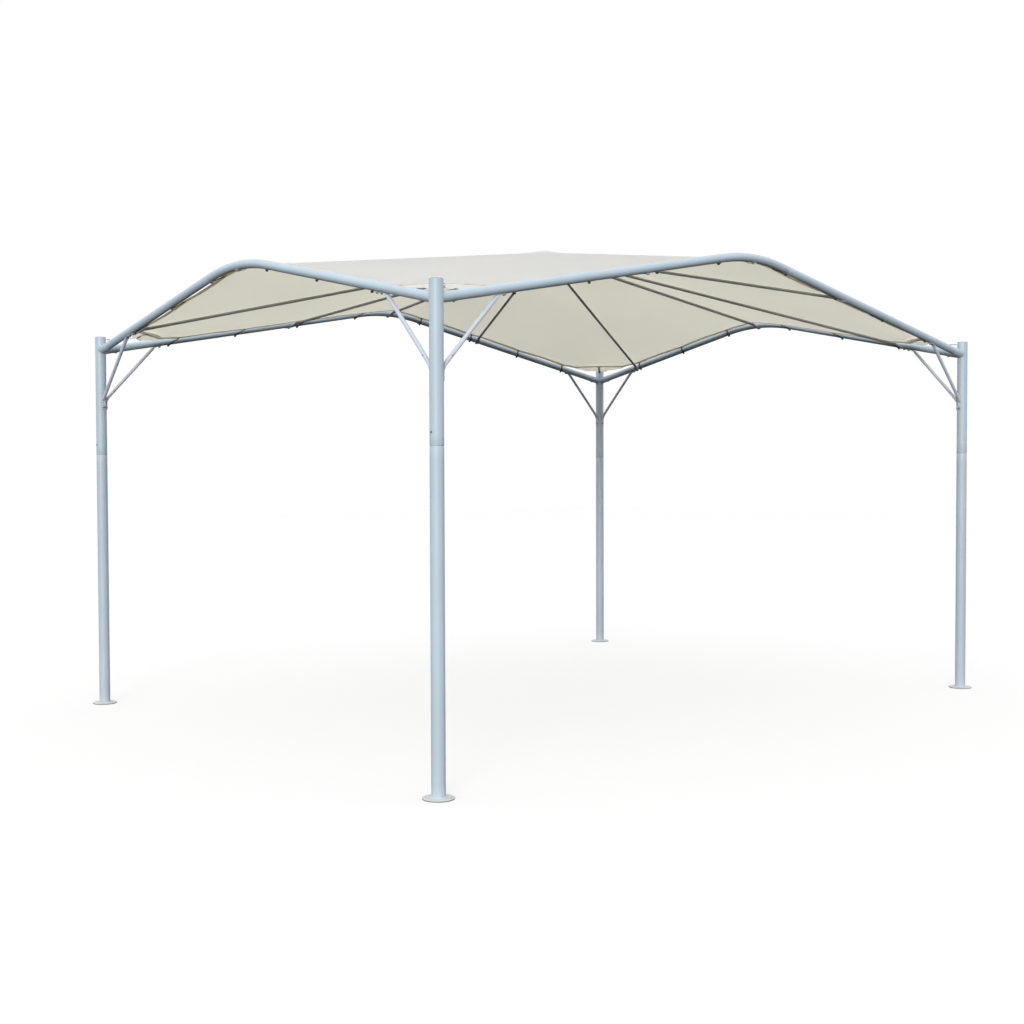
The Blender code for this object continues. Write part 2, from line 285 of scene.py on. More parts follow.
class Side:
    """One side of the roof: its beam's centre line and places measured from it."""

    def __init__(self, name, start, along, inward, half_length, depth, rise):
        self.name = name
        self.start = Vector(start)
        self.along = Vector(along)
        self.inward = Vector(inward)
        self.half_length = half_length
        self.depth = depth
        self.slope = rise / half_length
        self.bend_reach = BEND_RADIUS * math.sin(math.atan(self.slope))
        self.bend_centre = (
            BEAM_AT_POST
            + self.slope * (half_length - self.bend_reach)
            - BEND_RADIUS * math.cos(math.atan(self.slope))
        )

    def height(self, run):
        from_middle = abs(run - self.half_length)
        if from_middle < self.bend_reach:
            return self.bend_centre + math.sqrt(BEND_RADIUS**2 - from_middle**2)
        return BEAM_AT_POST + self.slope * (self.half_length - from_middle)

    def slope_at(self, run):
        from_middle = self.half_length - run
        if abs(from_middle) < self.bend_reach:
            return from_middle / math.sqrt(BEND_RADIUS**2 - from_middle**2)
        return math.copysign(self.slope, from_middle)

    def place(self, run, inside, height):
        flat = self.start + self.along * run + self.inward * inside
        return Vector((flat.x, flat.y, height))

    def axis_point(self, run):
        return self.place(run, 0.0, self.height(run))

    def direction(self, run):
        return (self.along + UP * self.slope_at(run)).normalized()

    def upward(self, run):
        """The direction square to the beam, up and in the side's own plane."""
        return self.inward.cross(self.direction(run)).normalized() * self.turn()

    def turn(self):
        return 1.0 if self.inward.cross(self.along).z > 0 else -1.0


LONG_SIDES = ("front", "back")
SIDES = {
    "front": Side("front", (-POST_X, -POST_Y, 0), (1, 0, 0), (0, 1, 0), POST_X, POST_Y, LONG_RISE),
    "back": Side("back", (-POST_X, POST_Y, 0), (1, 0, 0), (0, -1, 0), POST_X, POST_Y, LONG_RISE),
    "left": Side("left", (-POST_X, -POST_Y, 0), (0, 1, 0), (1, 0, 0), POST_Y, POST_X, SHORT_RISE),
    "right": Side("right", (POST_X, -POST_Y, 0), (0, 1, 0), (-1, 0, 0), POST_Y, POST_X, SHORT_RISE),
}


def corner_run(side, corner):
    """The run of a corner's post along a side's beam, and the way along the beam that leads from it."""
    sign_x, sign_y = CORNERS[corner]
    post = Vector((sign_x * POST_X, sign_y * POST_Y, 0.0))
    run = (post - side.start).dot(side.along)
    away = 1 if run < side.half_length else -1
    return run, away


def sides_at(corner):
    sign_x, sign_y = CORNERS[corner]
    return [SIDES["front" if sign_y < 0 else "back"], SIDES["left" if sign_x < 0 else "right"]]


def post_point(corner, height):
    sign_x, sign_y = CORNERS[corner]
    return Vector((sign_x * POST_X, sign_y * POST_Y, height))


# Mesh building

def facing(point, axis):
    """The transform that puts a body's origin at a point and its Z along an axis."""
    return Matrix.Translation(point) @ Vector(axis).to_track_quat("Z", "Y").to_matrix().to_4x4()


def skin(bm, rings, looped=False):
    """A closed body through rings of points, capped at both ends unless it closes on itself."""
    loops = [[bm.verts.new(point) for point in ring] for ring in rings]
    pairs = list(zip(loops, loops[1:]))
    if looped:
        pairs.append((loops[-1], loops[0]))
    for first, second in pairs:
        for step in range(len(first)):
            after = (step + 1) % len(first)
            bm.faces.new((first[step], first[after], second[after], second[step]))
    if not looped:
        bm.faces.new(list(reversed(loops[0])))
        bm.faces.new(loops[-1])


def oval(centre, tangent, side, half_side, half_up, sides):
    """A ring square to the tangent: round where both halves are equal, else a flat bar's rounded outline."""
    forward = Vector(tangent).normalized()
    up = forward.cross(Vector(side)).normalized()
    level = up.cross(forward).normalized()
    power = 2.0 / (2.0 + 3.0 * (1.0 - min(half_up / half_side, 1.0)))
    ring = []
    for step in range(sides):
        turn = 2 * math.pi * step / sides
        across = math.copysign(abs(math.cos(turn)) ** power, math.cos(turn))
        upward = math.copysign(abs(math.sin(turn)) ** power, math.sin(turn))
        ring.append(Vector(centre) + level * (half_side * across) + up * (half_up * upward))
    return ring


def path_rings(path, side_direction, sides):
    """Rings along (point, half side, half up) triples, each halfway between its neighbours' directions."""
    rings = []
    for index, (point, half_side, half_up) in enumerate(path):
        before = path[max(index - 1, 0)][0]
        after = path[min(index + 1, len(path) - 1)][0]
        tangent = (point - before).normalized() + (after - point).normalized()
        rings.append(oval(point, tangent, side_direction, half_side, half_up, sides))
    return rings


def cut_corners(path, rounds):
    """Round a path's bends: each round puts two places where a corner was. The ends stay."""
    for _ in range(rounds):
        smooth = [path[0]]
        for first, last in zip(path, path[1:]):
            for share in (0.25, 0.75):
                smooth.append(tuple(a * (1 - share) + b * share for a, b in zip(first, last)))
        smooth.append(path[-1])
        path = smooth
    return path


def lathe(bm, place, profile, sides, hex_from=None):
    """A closed body of revolution. The profile is (radius, height); a socket's rings are six-sided."""
    rings = []
    for index, (radius, height) in enumerate(profile):
        ring = []
        for step in range(sides):
            turn = 2 * math.pi * step / sides
            reach = radius
            if hex_from is not None and index >= hex_from:
                reach *= math.cos(math.pi / 6) / math.cos(turn % (math.pi / 3) - math.pi / 6)
            ring.append(place @ Vector((reach * math.cos(turn), reach * math.sin(turn), height)))
        rings.append(ring)
    skin(bm, rings)


def revolve_ring(bm, place, section, sides):
    """A ring-shaped body: a closed section of (radius, height) carried round the Z axis."""
    rings = []
    for step in range(sides):
        turn = 2 * math.pi * step / sides
        out = Vector((math.cos(turn), math.sin(turn), 0.0))
        rings.append([place @ (out * radius + UP * height) for radius, height in section])
    skin(bm, rings, looped=True)


def sweep(bm, points, radius, sides):
    """A round cord along points, its rings carried on without twist."""
    rings = []
    across = None
    for index, point in enumerate(points):
        before = points[max(index - 1, 0)]
        after = points[min(index + 1, len(points) - 1)]
        forward = (after - before).normalized()
        if across is None:
            across = forward.orthogonal().normalized()
        across = (across - forward * across.dot(forward)).normalized()
        other = forward.cross(across)
        turns = [2 * math.pi * step / sides for step in range(sides)]
        rings.append([point + (across * math.cos(t) + other * math.sin(t)) * radius for t in turns])
    skin(bm, rings)


def tube(bm, points, side, radius, sides, lips=(True, True)):
    """A tube along points, with its ends turned in a little where a joint's groove shows."""
    path = [(point, radius, radius) for point in points]
    start_way = (points[1] - points[0]).normalized()
    end_way = (points[-2] - points[-1]).normalized()
    start = [(path[0][0] + start_way * TUBE_LIP * a, radius - TUBE_LIP * b, radius - TUBE_LIP * b)
             for a, b in ((0, 0.7), (0.25, 0.25), (1, 0))]
    end = [(path[-1][0] + end_way * TUBE_LIP * a, radius - TUBE_LIP * b, radius - TUBE_LIP * b)
           for a, b in ((1, 0), (0.25, 0.25), (0, 0.7))]
    path = (start if lips[0] else path[:1]) + path[1:-1] + (end if lips[1] else path[-1:])
    skin(bm, path_rings(path, side, sides))


def weld(bm, points, size):
    """A rippled weld bead along a closed loop of points."""
    rings = []
    count = len(points)
    for index, point in enumerate(points):
        forward = (points[(index + 1) % count] - points[index - 1]).normalized()
        radius = size * (1 + WELD_RIPPLE * math.cos(2 * math.pi * index / WELD_STEPS_PER_RIPPLE))
        side = forward.orthogonal() if abs(forward.z) > 0.9 else UP
        rings.append(oval(point, forward, side, radius, radius, CORD_SIDES))
    skin(bm, rings, looped=True)


def saddle(centre, axis, tube_radius, drum_radius):
    """Points of the curve where a tube leaves a round upright body whose axis passes through the centre."""
    flat = Vector((axis.x, axis.y, 0.0))
    ahead = flat.normalized()
    aside = UP.cross(ahead)
    raised = axis.cross(aside).normalized()
    points = []
    for step in range(WELD_POINTS):
        turn = 2 * math.pi * step / WELD_POINTS
        offset = aside * math.cos(turn) + raised * math.sin(turn)
        sideways = tube_radius * math.cos(turn)
        wanted = math.sqrt(drum_radius**2 - sideways**2)
        reach = (wanted - tube_radius * offset.dot(ahead)) / flat.length
        points.append(centre + axis * reach + offset * tube_radius)
    return points


def bolt(bm, point, axis, size=1.0):
    """A domed cap screw on its washer, with a six-sided socket."""
    place = facing(point, axis) @ Matrix.Scale(size, 4)
    lathe(bm, place, BOLT_WASHER, THIN_SIDES)
    lathe(bm, place, BOLT_HEAD, THIN_SIDES, hex_from=BOLT_SOCKET_FROM)


def new_piece(name, bm, material, slot, *nodes):
    """Turn a mesh under construction into a piece that rides with the body and takes over CAD nodes."""
    bmesh.ops.recalc_face_normals(bm, faces=bm.faces)
    mesh = bpy.data.meshes.new(name)
    bm.to_mesh(mesh)
    bm.free()
    return place_piece(name, mesh, material, slot, *nodes)


def place_piece(name, mesh, material, slot, *nodes):
    mesh.shade_smooth()
    mesh.set_sharp_from_angle(angle=SHARP_ANGLE)
    piece = bpy.data.objects.new(name, mesh)
    bpy.context.scene.collection.objects.link(piece)
    mesh.materials.append(material)
    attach(piece, "root")
    if nodes:
        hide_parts(*nodes)
    return piece


def loose_body(bm):
    """A body that only serves a boolean."""
    bmesh.ops.recalc_face_normals(bm, faces=bm.faces)
    mesh = bpy.data.meshes.new("tool")
    bm.to_mesh(mesh)
    bm.free()
    body = bpy.data.objects.new("tool", mesh)
    bpy.context.scene.collection.objects.link(body)
    return body


def combine(body, tool, operation):
    """Join a tool to a body, or cut it out, and keep only the result."""
    modifier = body.modifiers.new("combine", "BOOLEAN")
    modifier.operation = operation
    modifier.solver = "EXACT"
    modifier.use_self = True
    modifier.object = tool
    graph = bpy.context.evaluated_depsgraph_get()
    mesh = bpy.data.meshes.new_from_object(body.evaluated_get(graph))
    body.modifiers.clear()
    old = body.data
    name = old.name
    body.data = mesh
    bpy.data.meshes.remove(old)
    mesh.name = name
    bpy.data.objects.remove(tool)
    mesh.set_sharp_from_angle(angle=SHARP_ANGLE)


# The posts

def post_weld_points(corner):
    centre = post_point(corner, FOOT_THICKNESS + FOOT_WELD_LIFT)
    turns = [2 * math.pi * step / WELD_POINTS for step in range(WELD_POINTS)]
    return [centre + Vector((math.cos(t), math.sin(t), 0.0)) * (POST_RADIUS + 0.001) for t in turns]


def stub_axis(side, corner):
    run, away = corner_run(side, corner)
    return (side.axis_point(run + away * STUB_LENGTH) - side.axis_point(run)).normalized()


def make_posts(paint, plastic):
    lip = TUBE_LIP
    lower_profile = [
        (FOOT_RADIUS - FOOT_EDGE / 2, 0.0),
        (FOOT_RADIUS - FOOT_EDGE / 6, FOOT_EDGE / 6),
        (FOOT_RADIUS, FOOT_EDGE / 2),
        (FOOT_RADIUS, FOOT_THICKNESS - FOOT_EDGE),
        (FOOT_RADIUS - FOOT_EDGE * 0.3, FOOT_THICKNESS - FOOT_EDGE * 0.3),
        (FOOT_RADIUS - FOOT_EDGE, FOOT_THICKNESS),
        (POST_RADIUS, FOOT_THICKNESS),
        (POST_RADIUS, FOOT_THICKNESS + 0.05),
        (POST_RADIUS, POST_SEAM - 0.05),
        (POST_RADIUS, POST_SEAM - lip),
        (POST_RADIUS - lip * 0.25, POST_SEAM - lip * 0.25),
        (POST_RADIUS - lip * 0.7, POST_SEAM),
    ]
    seam_top = POST_SEAM + SEAM_GAP
    upper_profile = [
        (POST_RADIUS - lip * 0.7, seam_top),
        (POST_RADIUS - lip * 0.25, seam_top + lip * 0.25),
        (POST_RADIUS, seam_top + lip),
        (POST_RADIUS, POST_SEAM + 0.05),
        (POST_RADIUS, BEAM_AT_POST - 0.045),
        (POST_RADIUS, BEAM_AT_POST + 0.035),
        (POST_RADIUS, POST_HEIGHT - CAP_HEIGHT),
    ]
    cap_out = POST_RADIUS + CAP_STEP
    cap_profile = [
        (POST_RADIUS - 0.004, POST_HEIGHT - CAP_HEIGHT - 0.004),
        (cap_out - 0.0006, POST_HEIGHT - CAP_HEIGHT - 0.0002),
        (cap_out, POST_HEIGHT - CAP_HEIGHT + 0.0003),
        (cap_out - 0.0005, POST_HEIGHT - 0.0022),
        (cap_out - 0.0016, POST_HEIGHT - 0.0011),
        (cap_out - 0.0034, POST_HEIGHT - 0.0004),
        (cap_out - 0.0070, POST_HEIGHT - 0.0001),
        (0.010, POST_HEIGHT),
    ]
    caps = bmesh.new()
    welds = bmesh.new()
    sleeves = bmesh.new()
    bolts = bmesh.new()
    for corner, (sign_x, _) in CORNERS.items():
        place = Matrix.Translation(post_point(corner, 0.0))
        lower = bmesh.new()
        lathe(lower, place, lower_profile, POST_SIDES)
        lower_piece = new_piece("post_lower_" + corner, lower, paint, "frame_paint", "lower_post_" + corner)
        holes = bmesh.new()
        for index in range(ANCHOR_COUNT):
            turn = 2 * math.pi * (index + 0.5) / ANCHOR_COUNT
            offset = Vector((math.cos(turn), math.sin(turn), 0.0)) * ANCHOR_CIRCLE
            hole_profile = [
                (ANCHOR_RADIUS, -FOOT_THICKNESS),
                (ANCHOR_RADIUS, FOOT_THICKNESS - ANCHOR_BEVEL),
                (ANCHOR_RADIUS + ANCHOR_BEVEL * 3, FOOT_THICKNESS + ANCHOR_BEVEL * 2),
            ]
            lathe(holes, place @ Matrix.Translation(offset), hole_profile, THIN_SIDES)
        combine(lower_piece, loose_body(holes), "DIFFERENCE")
        upper = bmesh.new()
        lathe(upper, place, upper_profile, POST_SIDES)
        upper_piece = new_piece("post_upper_" + corner, upper, paint, "frame_paint", "upper_post_" + corner)
        for side in sides_at(corner):
            run, away = corner_run(side, corner)
            stub = bmesh.new()
            ends = [side.axis_point(run + away * reach) for reach in (0.004, 0.05, STUB_LENGTH)]
            tube(stub, ends, side.inward, STUB_RADIUS, BEAM_SIDES, (False, True))
            combine(upper_piece, loose_body(stub), "UNION")
            axis = stub_axis(side, corner)
            weld(welds, saddle(side.axis_point(run), axis, STUB_RADIUS, POST_RADIUS), STUB_WELD)
        lathe(caps, place, cap_profile, POST_SIDES)
        lathe(sleeves, place, [(POST_RADIUS - 0.0022, POST_SEAM - 0.02), (POST_RADIUS - 0.0022, POST_SEAM + 0.02)],
              POST_SIDES)
        weld(welds, post_weld_points(corner), FOOT_WELD)
        outward = Vector((sign_x, 0.0, 0.0))
        bolt(bolts, post_point(corner, POST_SEAM + SEAM_BOLT_HEIGHT) + outward * POST_RADIUS, outward, POST_BOLT_SIZE)
    new_piece("post_welds", welds, paint, "frame_paint")
    new_piece("post_caps", caps, plastic, "frame_paint")
    new_piece("post_sleeves", sleeves, paint, "frame_paint")
    return bolts


# The side beams

def under_beam_point(side, run, drop):
    """A point square below the beam's centre line, and the direction it lies in."""
    down = -side.upward(run)
    return side.axis_point(run) + down * drop, down


def make_beams(paint, bolts):
    sleeves = bmesh.new()
    for side in SIDES.values():
        middle = side.half_length
        length = 2 * middle
        joint = middle - APEX_REACH
        starts = {"_beam_start": (STUB_LENGTH - 0.015, joint - SEAM_GAP), "_beam_end": (length - STUB_LENGTH + 0.015,
                                                                                    length - joint + SEAM_GAP)}
        for label, (first, last) in starts.items():
            bm = bmesh.new()
            runs = [first + (last - first) * share for share in (0, 0.1, 0.5, 0.9, 1)]
            tube(bm, [side.axis_point(run) for run in runs], side.inward, BEAM_RADIUS, BEAM_SIDES, (False, True))
            new_piece(side.name + label + "_tube", bm, paint, "frame_paint", side.name + label)
        reach = side.bend_reach
        bend = [middle + reach * (2 * step / BEND_STEPS - 1) for step in range(BEND_STEPS + 1)]
        bm = bmesh.new()
        points = [side.axis_point(run) for run in [joint, *bend, length - joint]]
        tube(bm, points, side.inward, BEAM_RADIUS, BEAM_SIDES)
        new_piece(side.name + "_apex_bend", bm, paint, "frame_paint", side.name + "_apex_tube")
        for run in (joint, length - joint):
            ends = [side.axis_point(run - 0.02), side.axis_point(run + 0.02)]
            tube(sleeves, ends, side.inward, BEAM_RADIUS - 0.0022, BEAM_SIDES, (False, False))
        for run in (STUB_LENGTH - BEAM_BOLT_SHIFT, length - STUB_LENGTH + BEAM_BOLT_SHIFT):
            bolt(bolts, *under_beam_point(side, run, STUB_RADIUS), BEAM_BOLT_SIZE)
        for run in (joint + BEAM_BOLT_SHIFT, length - joint - BEAM_BOLT_SHIFT):
            bolt(bolts, *under_beam_point(side, run, BEAM_RADIUS), BEAM_BOLT_SIZE)
    new_piece("beam_sleeves", sleeves, paint, "frame_paint")


# The corner braces

def make_braces(paint, bolts):
    rivets = bmesh.new()
    for corner in CORNERS:
        for side in sides_at(corner):
            run, away = corner_run(side, corner)
            on_post = POST_RADIUS + TAB_HALF_THICKNESS + TOUCH_GAP
            stretch = math.sqrt(1 + side.slope**2)
            slack = BRACE_RADIUS * PRESSED_SHARE

            def under(reach, extra=0.0):
                drop = (BEAM_RADIUS + TAB_HALF_THICKNESS + TOUCH_GAP + extra) * stretch
                return side.place(run + away * reach, 0.0, BEAM_AT_POST + side.slope * reach - drop)

            def at(reach, height):
                return side.place(run + away * reach, 0.0, height)

            tube_size = (BRACE_RADIUS, BRACE_RADIUS)
            pressed = (TAB_HALF_WIDTH, slack)
            flat = (TAB_HALF_WIDTH, TAB_HALF_THICKNESS)
            top = under(BRACE_REACH)
            path = [
                (at(on_post, BRACE_FOOT - BRACE_FOOT_TAB), (TAB_HALF_WIDTH * 0.72, TAB_HALF_THICKNESS)),
                (at(on_post, BRACE_FOOT - BRACE_FOOT_TAB + 0.004), flat),
                (at(on_post, BRACE_FOOT - slack), flat),
                (at(on_post + slack, BRACE_FOOT + slack), pressed),
                (at(on_post + BRACE_BEND / 2, BRACE_FOOT + BRACE_BEND), tube_size),
                (at(BRACE_REACH - BRACE_BEND, top.z - BRACE_BEND), tube_size),
                (at(BRACE_REACH - slack, top.z - slack), pressed),
                (under(BRACE_REACH + slack), flat),
                (under(BRACE_REACH + BRACE_TOP_TAB - 0.004), flat),
                (under(BRACE_REACH + BRACE_TOP_TAB), (TAB_HALF_WIDTH * 0.72, TAB_HALF_THICKNESS)),
            ]
            path = cut_corners([(*point, *halves) for point, halves in path], 2)
            path = [(Vector(entry[:3]), entry[3], entry[4]) for entry in path]
            bm = bmesh.new()
            skin(bm, path_rings(path, side.inward, THIN_SIDES))
            name = "brace_" + side.name + "_" + corner
            new_piece(name + "_bar", bm, paint, "brace_paint", name)
            away_way = side.along * away
            foot_bolt = at(on_post + TAB_HALF_THICKNESS, BRACE_FOOT - BRACE_FOOT_BOLT)
            bolt(bolts, foot_bolt, away_way, BRACE_BOLT_SIZE)
            top_run = run + away * (BRACE_REACH + BRACE_TOP_BOLT)
            drop = BEAM_RADIUS + 2 * TAB_HALF_THICKNESS + TOUCH_GAP
            bolt(bolts, *under_beam_point(side, top_run, drop), BRACE_BOLT_SIZE)
            bar_start = at(on_post + BRACE_BEND / 2, BRACE_FOOT + BRACE_BEND)
            bar_way = (at(BRACE_REACH - BRACE_BEND, top.z - BRACE_BEND) - bar_start).normalized()
            for way in (-1, 1):
                spot = bar_start + bar_way * BRACE_VENT + side.inward * (way * BRACE_RADIUS)
                lathe(rivets, facing(spot, side.inward * way), RIVET, THIN_SIDES)
    return rivets


# The roof spokes and their hub

def spoke_targets():
    """Each spoke's name, its side and the run along that side where it ends."""
    targets = []
    for side in SIDES.values():
        offset = SPOKE_LONG_OFFSET if side.name in LONG_SIDES else SPOKE_SHORT_OFFSET
        for label, shift in (("start", -offset), ("middle", 0.0), ("end", offset)):
            targets.append(("spoke_" + side.name + "_" + label, side, side.half_length + shift))
    return targets


def spoke_place(side, run, inside, lift):
    """A point of a spoke, at a distance inside the beam and a height above the beam's centre line."""
    here = run + (side.half_length - run) * inside / side.depth
    return side.place(here, inside, side.height(here) + lift)


HUB_CENTRE = Vector((0.0, 0.0, HUB_AXIS))


def make_spokes(paint, bolts):
    for name, side, run in spoke_targets():
        knee = spoke_place(side, run, *SPOKE_KNEE)
        away = (knee - HUB_CENTRE).normalized()
        stretch = math.sqrt(1 + side.slope_at(run) ** 2)
        drop = (BEAM_RADIUS + TAB_HALF_THICKNESS + TOUCH_GAP) * stretch
        tube_size = (SPOKE_RADIUS, SPOKE_RADIUS)
        flat = (TAB_HALF_WIDTH, TAB_HALF_THICKNESS)
        length = (knee - HUB_CENTRE).length
        path = [(HUB_CENTRE + away * reach, tube_size) for reach in (SOCKET_REACH - 0.01, length / 2, length - 0.03)]
        path += [
            (knee, tube_size),
            (spoke_place(side, run, *SPOKE_PRESSED), (TAB_HALF_WIDTH, SPOKE_RADIUS * PRESSED_SHARE)),
            (spoke_place(side, run, *SPOKE_FLAT), flat),
            (spoke_place(side, run, SPOKE_UNDER, -drop), flat),
            (spoke_place(side, run, SPOKE_END + 0.004, -drop), flat),
            (spoke_place(side, run, SPOKE_END, -drop), (TAB_HALF_WIDTH * 0.72, TAB_HALF_THICKNESS)),
        ]
        level = UP.cross(away).normalized()
        beam_line = side.direction(run)
        if beam_line.dot(level) < 0:
            beam_line = -beam_line
        path = cut_corners([(*point, *halves) for point, halves in path], 2)
        rings = []
        for index, entry in enumerate(path):
            before = Vector(path[max(index - 1, 0)][:3])
            after = Vector(path[min(index + 1, len(path) - 1)][:3])
            flatness = (SPOKE_RADIUS - entry[4]) / (SPOKE_RADIUS - TAB_HALF_THICKNESS)
            width_line = level.lerp(beam_line, min(max(flatness, 0.0), 1.0))
            rings.append(oval(entry[:3], after - before, width_line, entry[3], entry[4], THIN_SIDES))
        bm = bmesh.new()
        skin(bm, rings)
        new_piece(name + "_bar", bm, paint, "spoke_paint", name)
        end = spoke_place(side, run, 0.0, 0.0)
        end_run = (end - side.start).dot(side.along)
        drop = BEAM_RADIUS + 2 * TAB_HALF_THICKNESS + TOUCH_GAP
        bolt(bolts, *under_beam_point(side, end_run, drop), SPOKE_BOLT_SIZE)


def make_hub(paint):
    bottom = HUB_TOP - HUB_HEIGHT
    profile = [
        (HUB_RADIUS - HUB_EDGE, bottom),
        (HUB_RADIUS - HUB_EDGE * 0.4, bottom + HUB_EDGE * 0.1),
        (HUB_RADIUS - HUB_EDGE * 0.1, bottom + HUB_EDGE * 0.4),
        (HUB_RADIUS, bottom + HUB_EDGE),
        (HUB_RADIUS, HUB_TOP - HUB_DOME - HUB_EDGE),
        (HUB_RADIUS - HUB_EDGE * 0.1, HUB_TOP - HUB_DOME - HUB_EDGE * 0.4),
        (HUB_RADIUS - HUB_EDGE * 0.4, HUB_TOP - HUB_DOME - HUB_EDGE * 0.1),
        (HUB_RADIUS - HUB_EDGE, HUB_TOP - HUB_DOME * 0.80),
        (HUB_RADIUS * 0.6, HUB_TOP - HUB_DOME * 0.36),
        (HUB_RADIUS * 0.3, HUB_TOP - HUB_DOME * 0.09),
    ]
    bm = bmesh.new()
    lathe(bm, Matrix.Identity(4), profile, POST_SIDES)
    drum = new_piece("hub_drum", bm, paint, "frame_paint", "hub")
    welds = bmesh.new()
    screws = bmesh.new()
    sockets = bmesh.new()
    for name, side, run in spoke_targets():
        away = (spoke_place(side, run, *SPOKE_KNEE) - HUB_CENTRE).normalized()
        level = UP.cross(away)
        ends = [HUB_CENTRE + away * reach for reach in (SOCKET_ROOT, (SOCKET_ROOT + SOCKET_REACH) / 2, SOCKET_REACH)]
        tube(sockets, ends, level, SOCKET_RADIUS, THIN_SIDES, (False, True))
        weld(welds, saddle(HUB_CENTRE, away, SOCKET_RADIUS, HUB_RADIUS), SOCKET_WELD)
        down = away.cross(level)
        down = -down if down.z > 0 else down
        bolt(screws, HUB_CENTRE + away * SOCKET_SCREW + down * SOCKET_RADIUS, down, HUB_SCREW_SIZE)
    combine(drum, loose_body(sockets), "UNION")
    place = facing(Vector((0.0, 0.0, bottom)), -UP)
    lathe(screws, place @ Matrix.Scale(2.2, 4), BOLT_HEAD, THIN_SIDES, hex_from=BOLT_SOCKET_FROM)
    new_piece("hub_welds", welds, paint, "frame_paint")
    return screws


# The fabric roof

def side_stations(side):
    """Where the hem is held along a side: (run, inset, lift)."""
    is_long = side.name in LONG_SIDES
    reach, inset = CORNER_LONG if is_long else CORNER_SHORT
    middle = side.half_length
    held = [(reach, inset, CORNER_LIFT), (2 * middle - reach, inset, CORNER_LIFT)]
    for tie in LONG_TIES if is_long else SHORT_TIES:
        lift = TIE_LIFT + TIE_RISE * (tie / middle) ** 2
        held += [(middle + way * tie, TIE_INSET, lift) for way in (-1, 1)]
    return sorted(held)


def spoke_lift(side, run, lift):
    """The hem's lift, raised where the hem passes over a spoke."""
    for _, owner, spoke_run in spoke_targets():
        if owner is side and lift < SPOKE_OVER:
            here = spoke_run + (side.half_length - spoke_run) * TIE_INSET / side.depth
            lift += (SPOKE_OVER - lift) * math.exp(-((run - here) / SPOKE_TENT) ** 2)
    return lift


def hem_place(side, run):
    """A point of the hem. Between two stations it bows inward and up."""
    stations = side_stations(side)
    for first, last in zip(stations, stations[1:]):
        if run <= last[0] + 1e-6:
            break
    bay = last[0] - first[0]
    share = (run - first[0]) / bay
    bulge = 4 * share * (1 - share) * min(1.0, bay / BAY_LENGTH)
    inset = first[1] + (last[1] - first[1]) * share + BAY_INSET * bulge
    lift = spoke_lift(side, run, first[2] + (last[2] - first[2]) * share + BAY_LIFT * bulge)
    return side.place(run, inset, side.height(run) + lift)


def spoke_crossing(side, run):
    """The run at which a spoke passes under the hem."""
    here = run
    for _ in range(4):
        inside = (hem_place(side, here) - side.axis_point(here)).dot(side.inward)
        here = run + (side.half_length - run) * inside / side.depth
    return here


def hem_outline():
    """Points round the hem, and for each tie its index there with its side and run."""
    points = []
    ties = []
    corners = {}
    turns = (("front", 1, "front_right"), ("right", 1, "back_right"), ("back", -1, "back_left"),
             ("left", -1, "front_left"))
    edges = []
    for name, way, corner in turns:
        side = SIDES[name]
        stations = [station[0] for station in side_stations(side)]
        crossings = [spoke_crossing(side, run) for _, owner, run in spoke_targets() if owner is side]
        keys = sorted(stations + [run for run in crossings if min(abs(run - s) for s in stations) > 1e-4])
        runs = []
        for first, last in zip(keys, keys[1:]):
            steps = math.ceil((last - first) / HEM_STEP)
            runs += [first + (last - first) * step / steps for step in range(steps)]
        runs.append(keys[-1])
        held = stations[1:-1]
        edges.append((side, runs[::way], held, corner))
    for index, (side, runs, held, corner) in enumerate(edges):
        for run in runs:
            if min(abs(run - station) for station in held) < 1e-6:
                ties.append((len(points), side, run))
            points.append(hem_place(side, run))
        next_side, next_runs = edges[(index + 1) % len(edges)][:2]
        start = points[-1]
        end = hem_place(next_side, next_runs[0])
        sign_x, sign_y = CORNERS[corner]
        middle = Vector((sign_x * (POST_X - CORNER_MIDDLE[0]), sign_y * (POST_Y - CORNER_MIDDLE[1]),
                         CORNER_MIDDLE[2]))
        pull = middle * 2 - (start + end) / 2
        first_index = len(points) - 1
        for step in range(1, CORNER_STEPS):
            t = step / CORNER_STEPS
            points.append(start * (1 - t) ** 2 + pull * (2 * t * (1 - t)) + end * t**2)
        corners[corner] = (first_index, len(points))
    return np.array([tuple(point) for point in points]), ties, corners


def spring_weights(x, y):
    """Weights of the net's lines for a stretched film: outward, round and both diagonals."""
    def ahead(a):
        return np.roll(a, -1, axis=1)

    corners = {
        "a": (x[:-1], y[:-1]),
        "b": (x[1:], y[1:]),
        "c": (ahead(x)[1:], ahead(y)[1:]),
        "d": (ahead(x)[:-1], ahead(y)[:-1]),
    }

    def cotangent(at, first, last):
        ax, ay = (p - q for p, q in zip(corners[first], corners[at]))
        bx, by = (p - q for p, q in zip(corners[last], corners[at]))
        return 0.25 * (ax * bx + ay * by) / np.abs(ax * by - ay * bx)

    out = np.zeros(x[:-1].shape)
    around = np.zeros(x.shape)
    near = cotangent("c", "a", "b") + cotangent("d", "a", "b")
    far = cotangent("a", "c", "d") + cotangent("b", "c", "d")
    out += near + np.roll(far, 1, axis=1)
    around[:-1] += cotangent("c", "a", "d") + cotangent("b", "a", "d")
    around[1:] += cotangent("a", "b", "c") + cotangent("d", "b", "c")
    rising = cotangent("b", "a", "c") + cotangent("d", "a", "c")
    falling = cotangent("a", "b", "d") + cotangent("c", "b", "d")
    return out, around, rising, falling


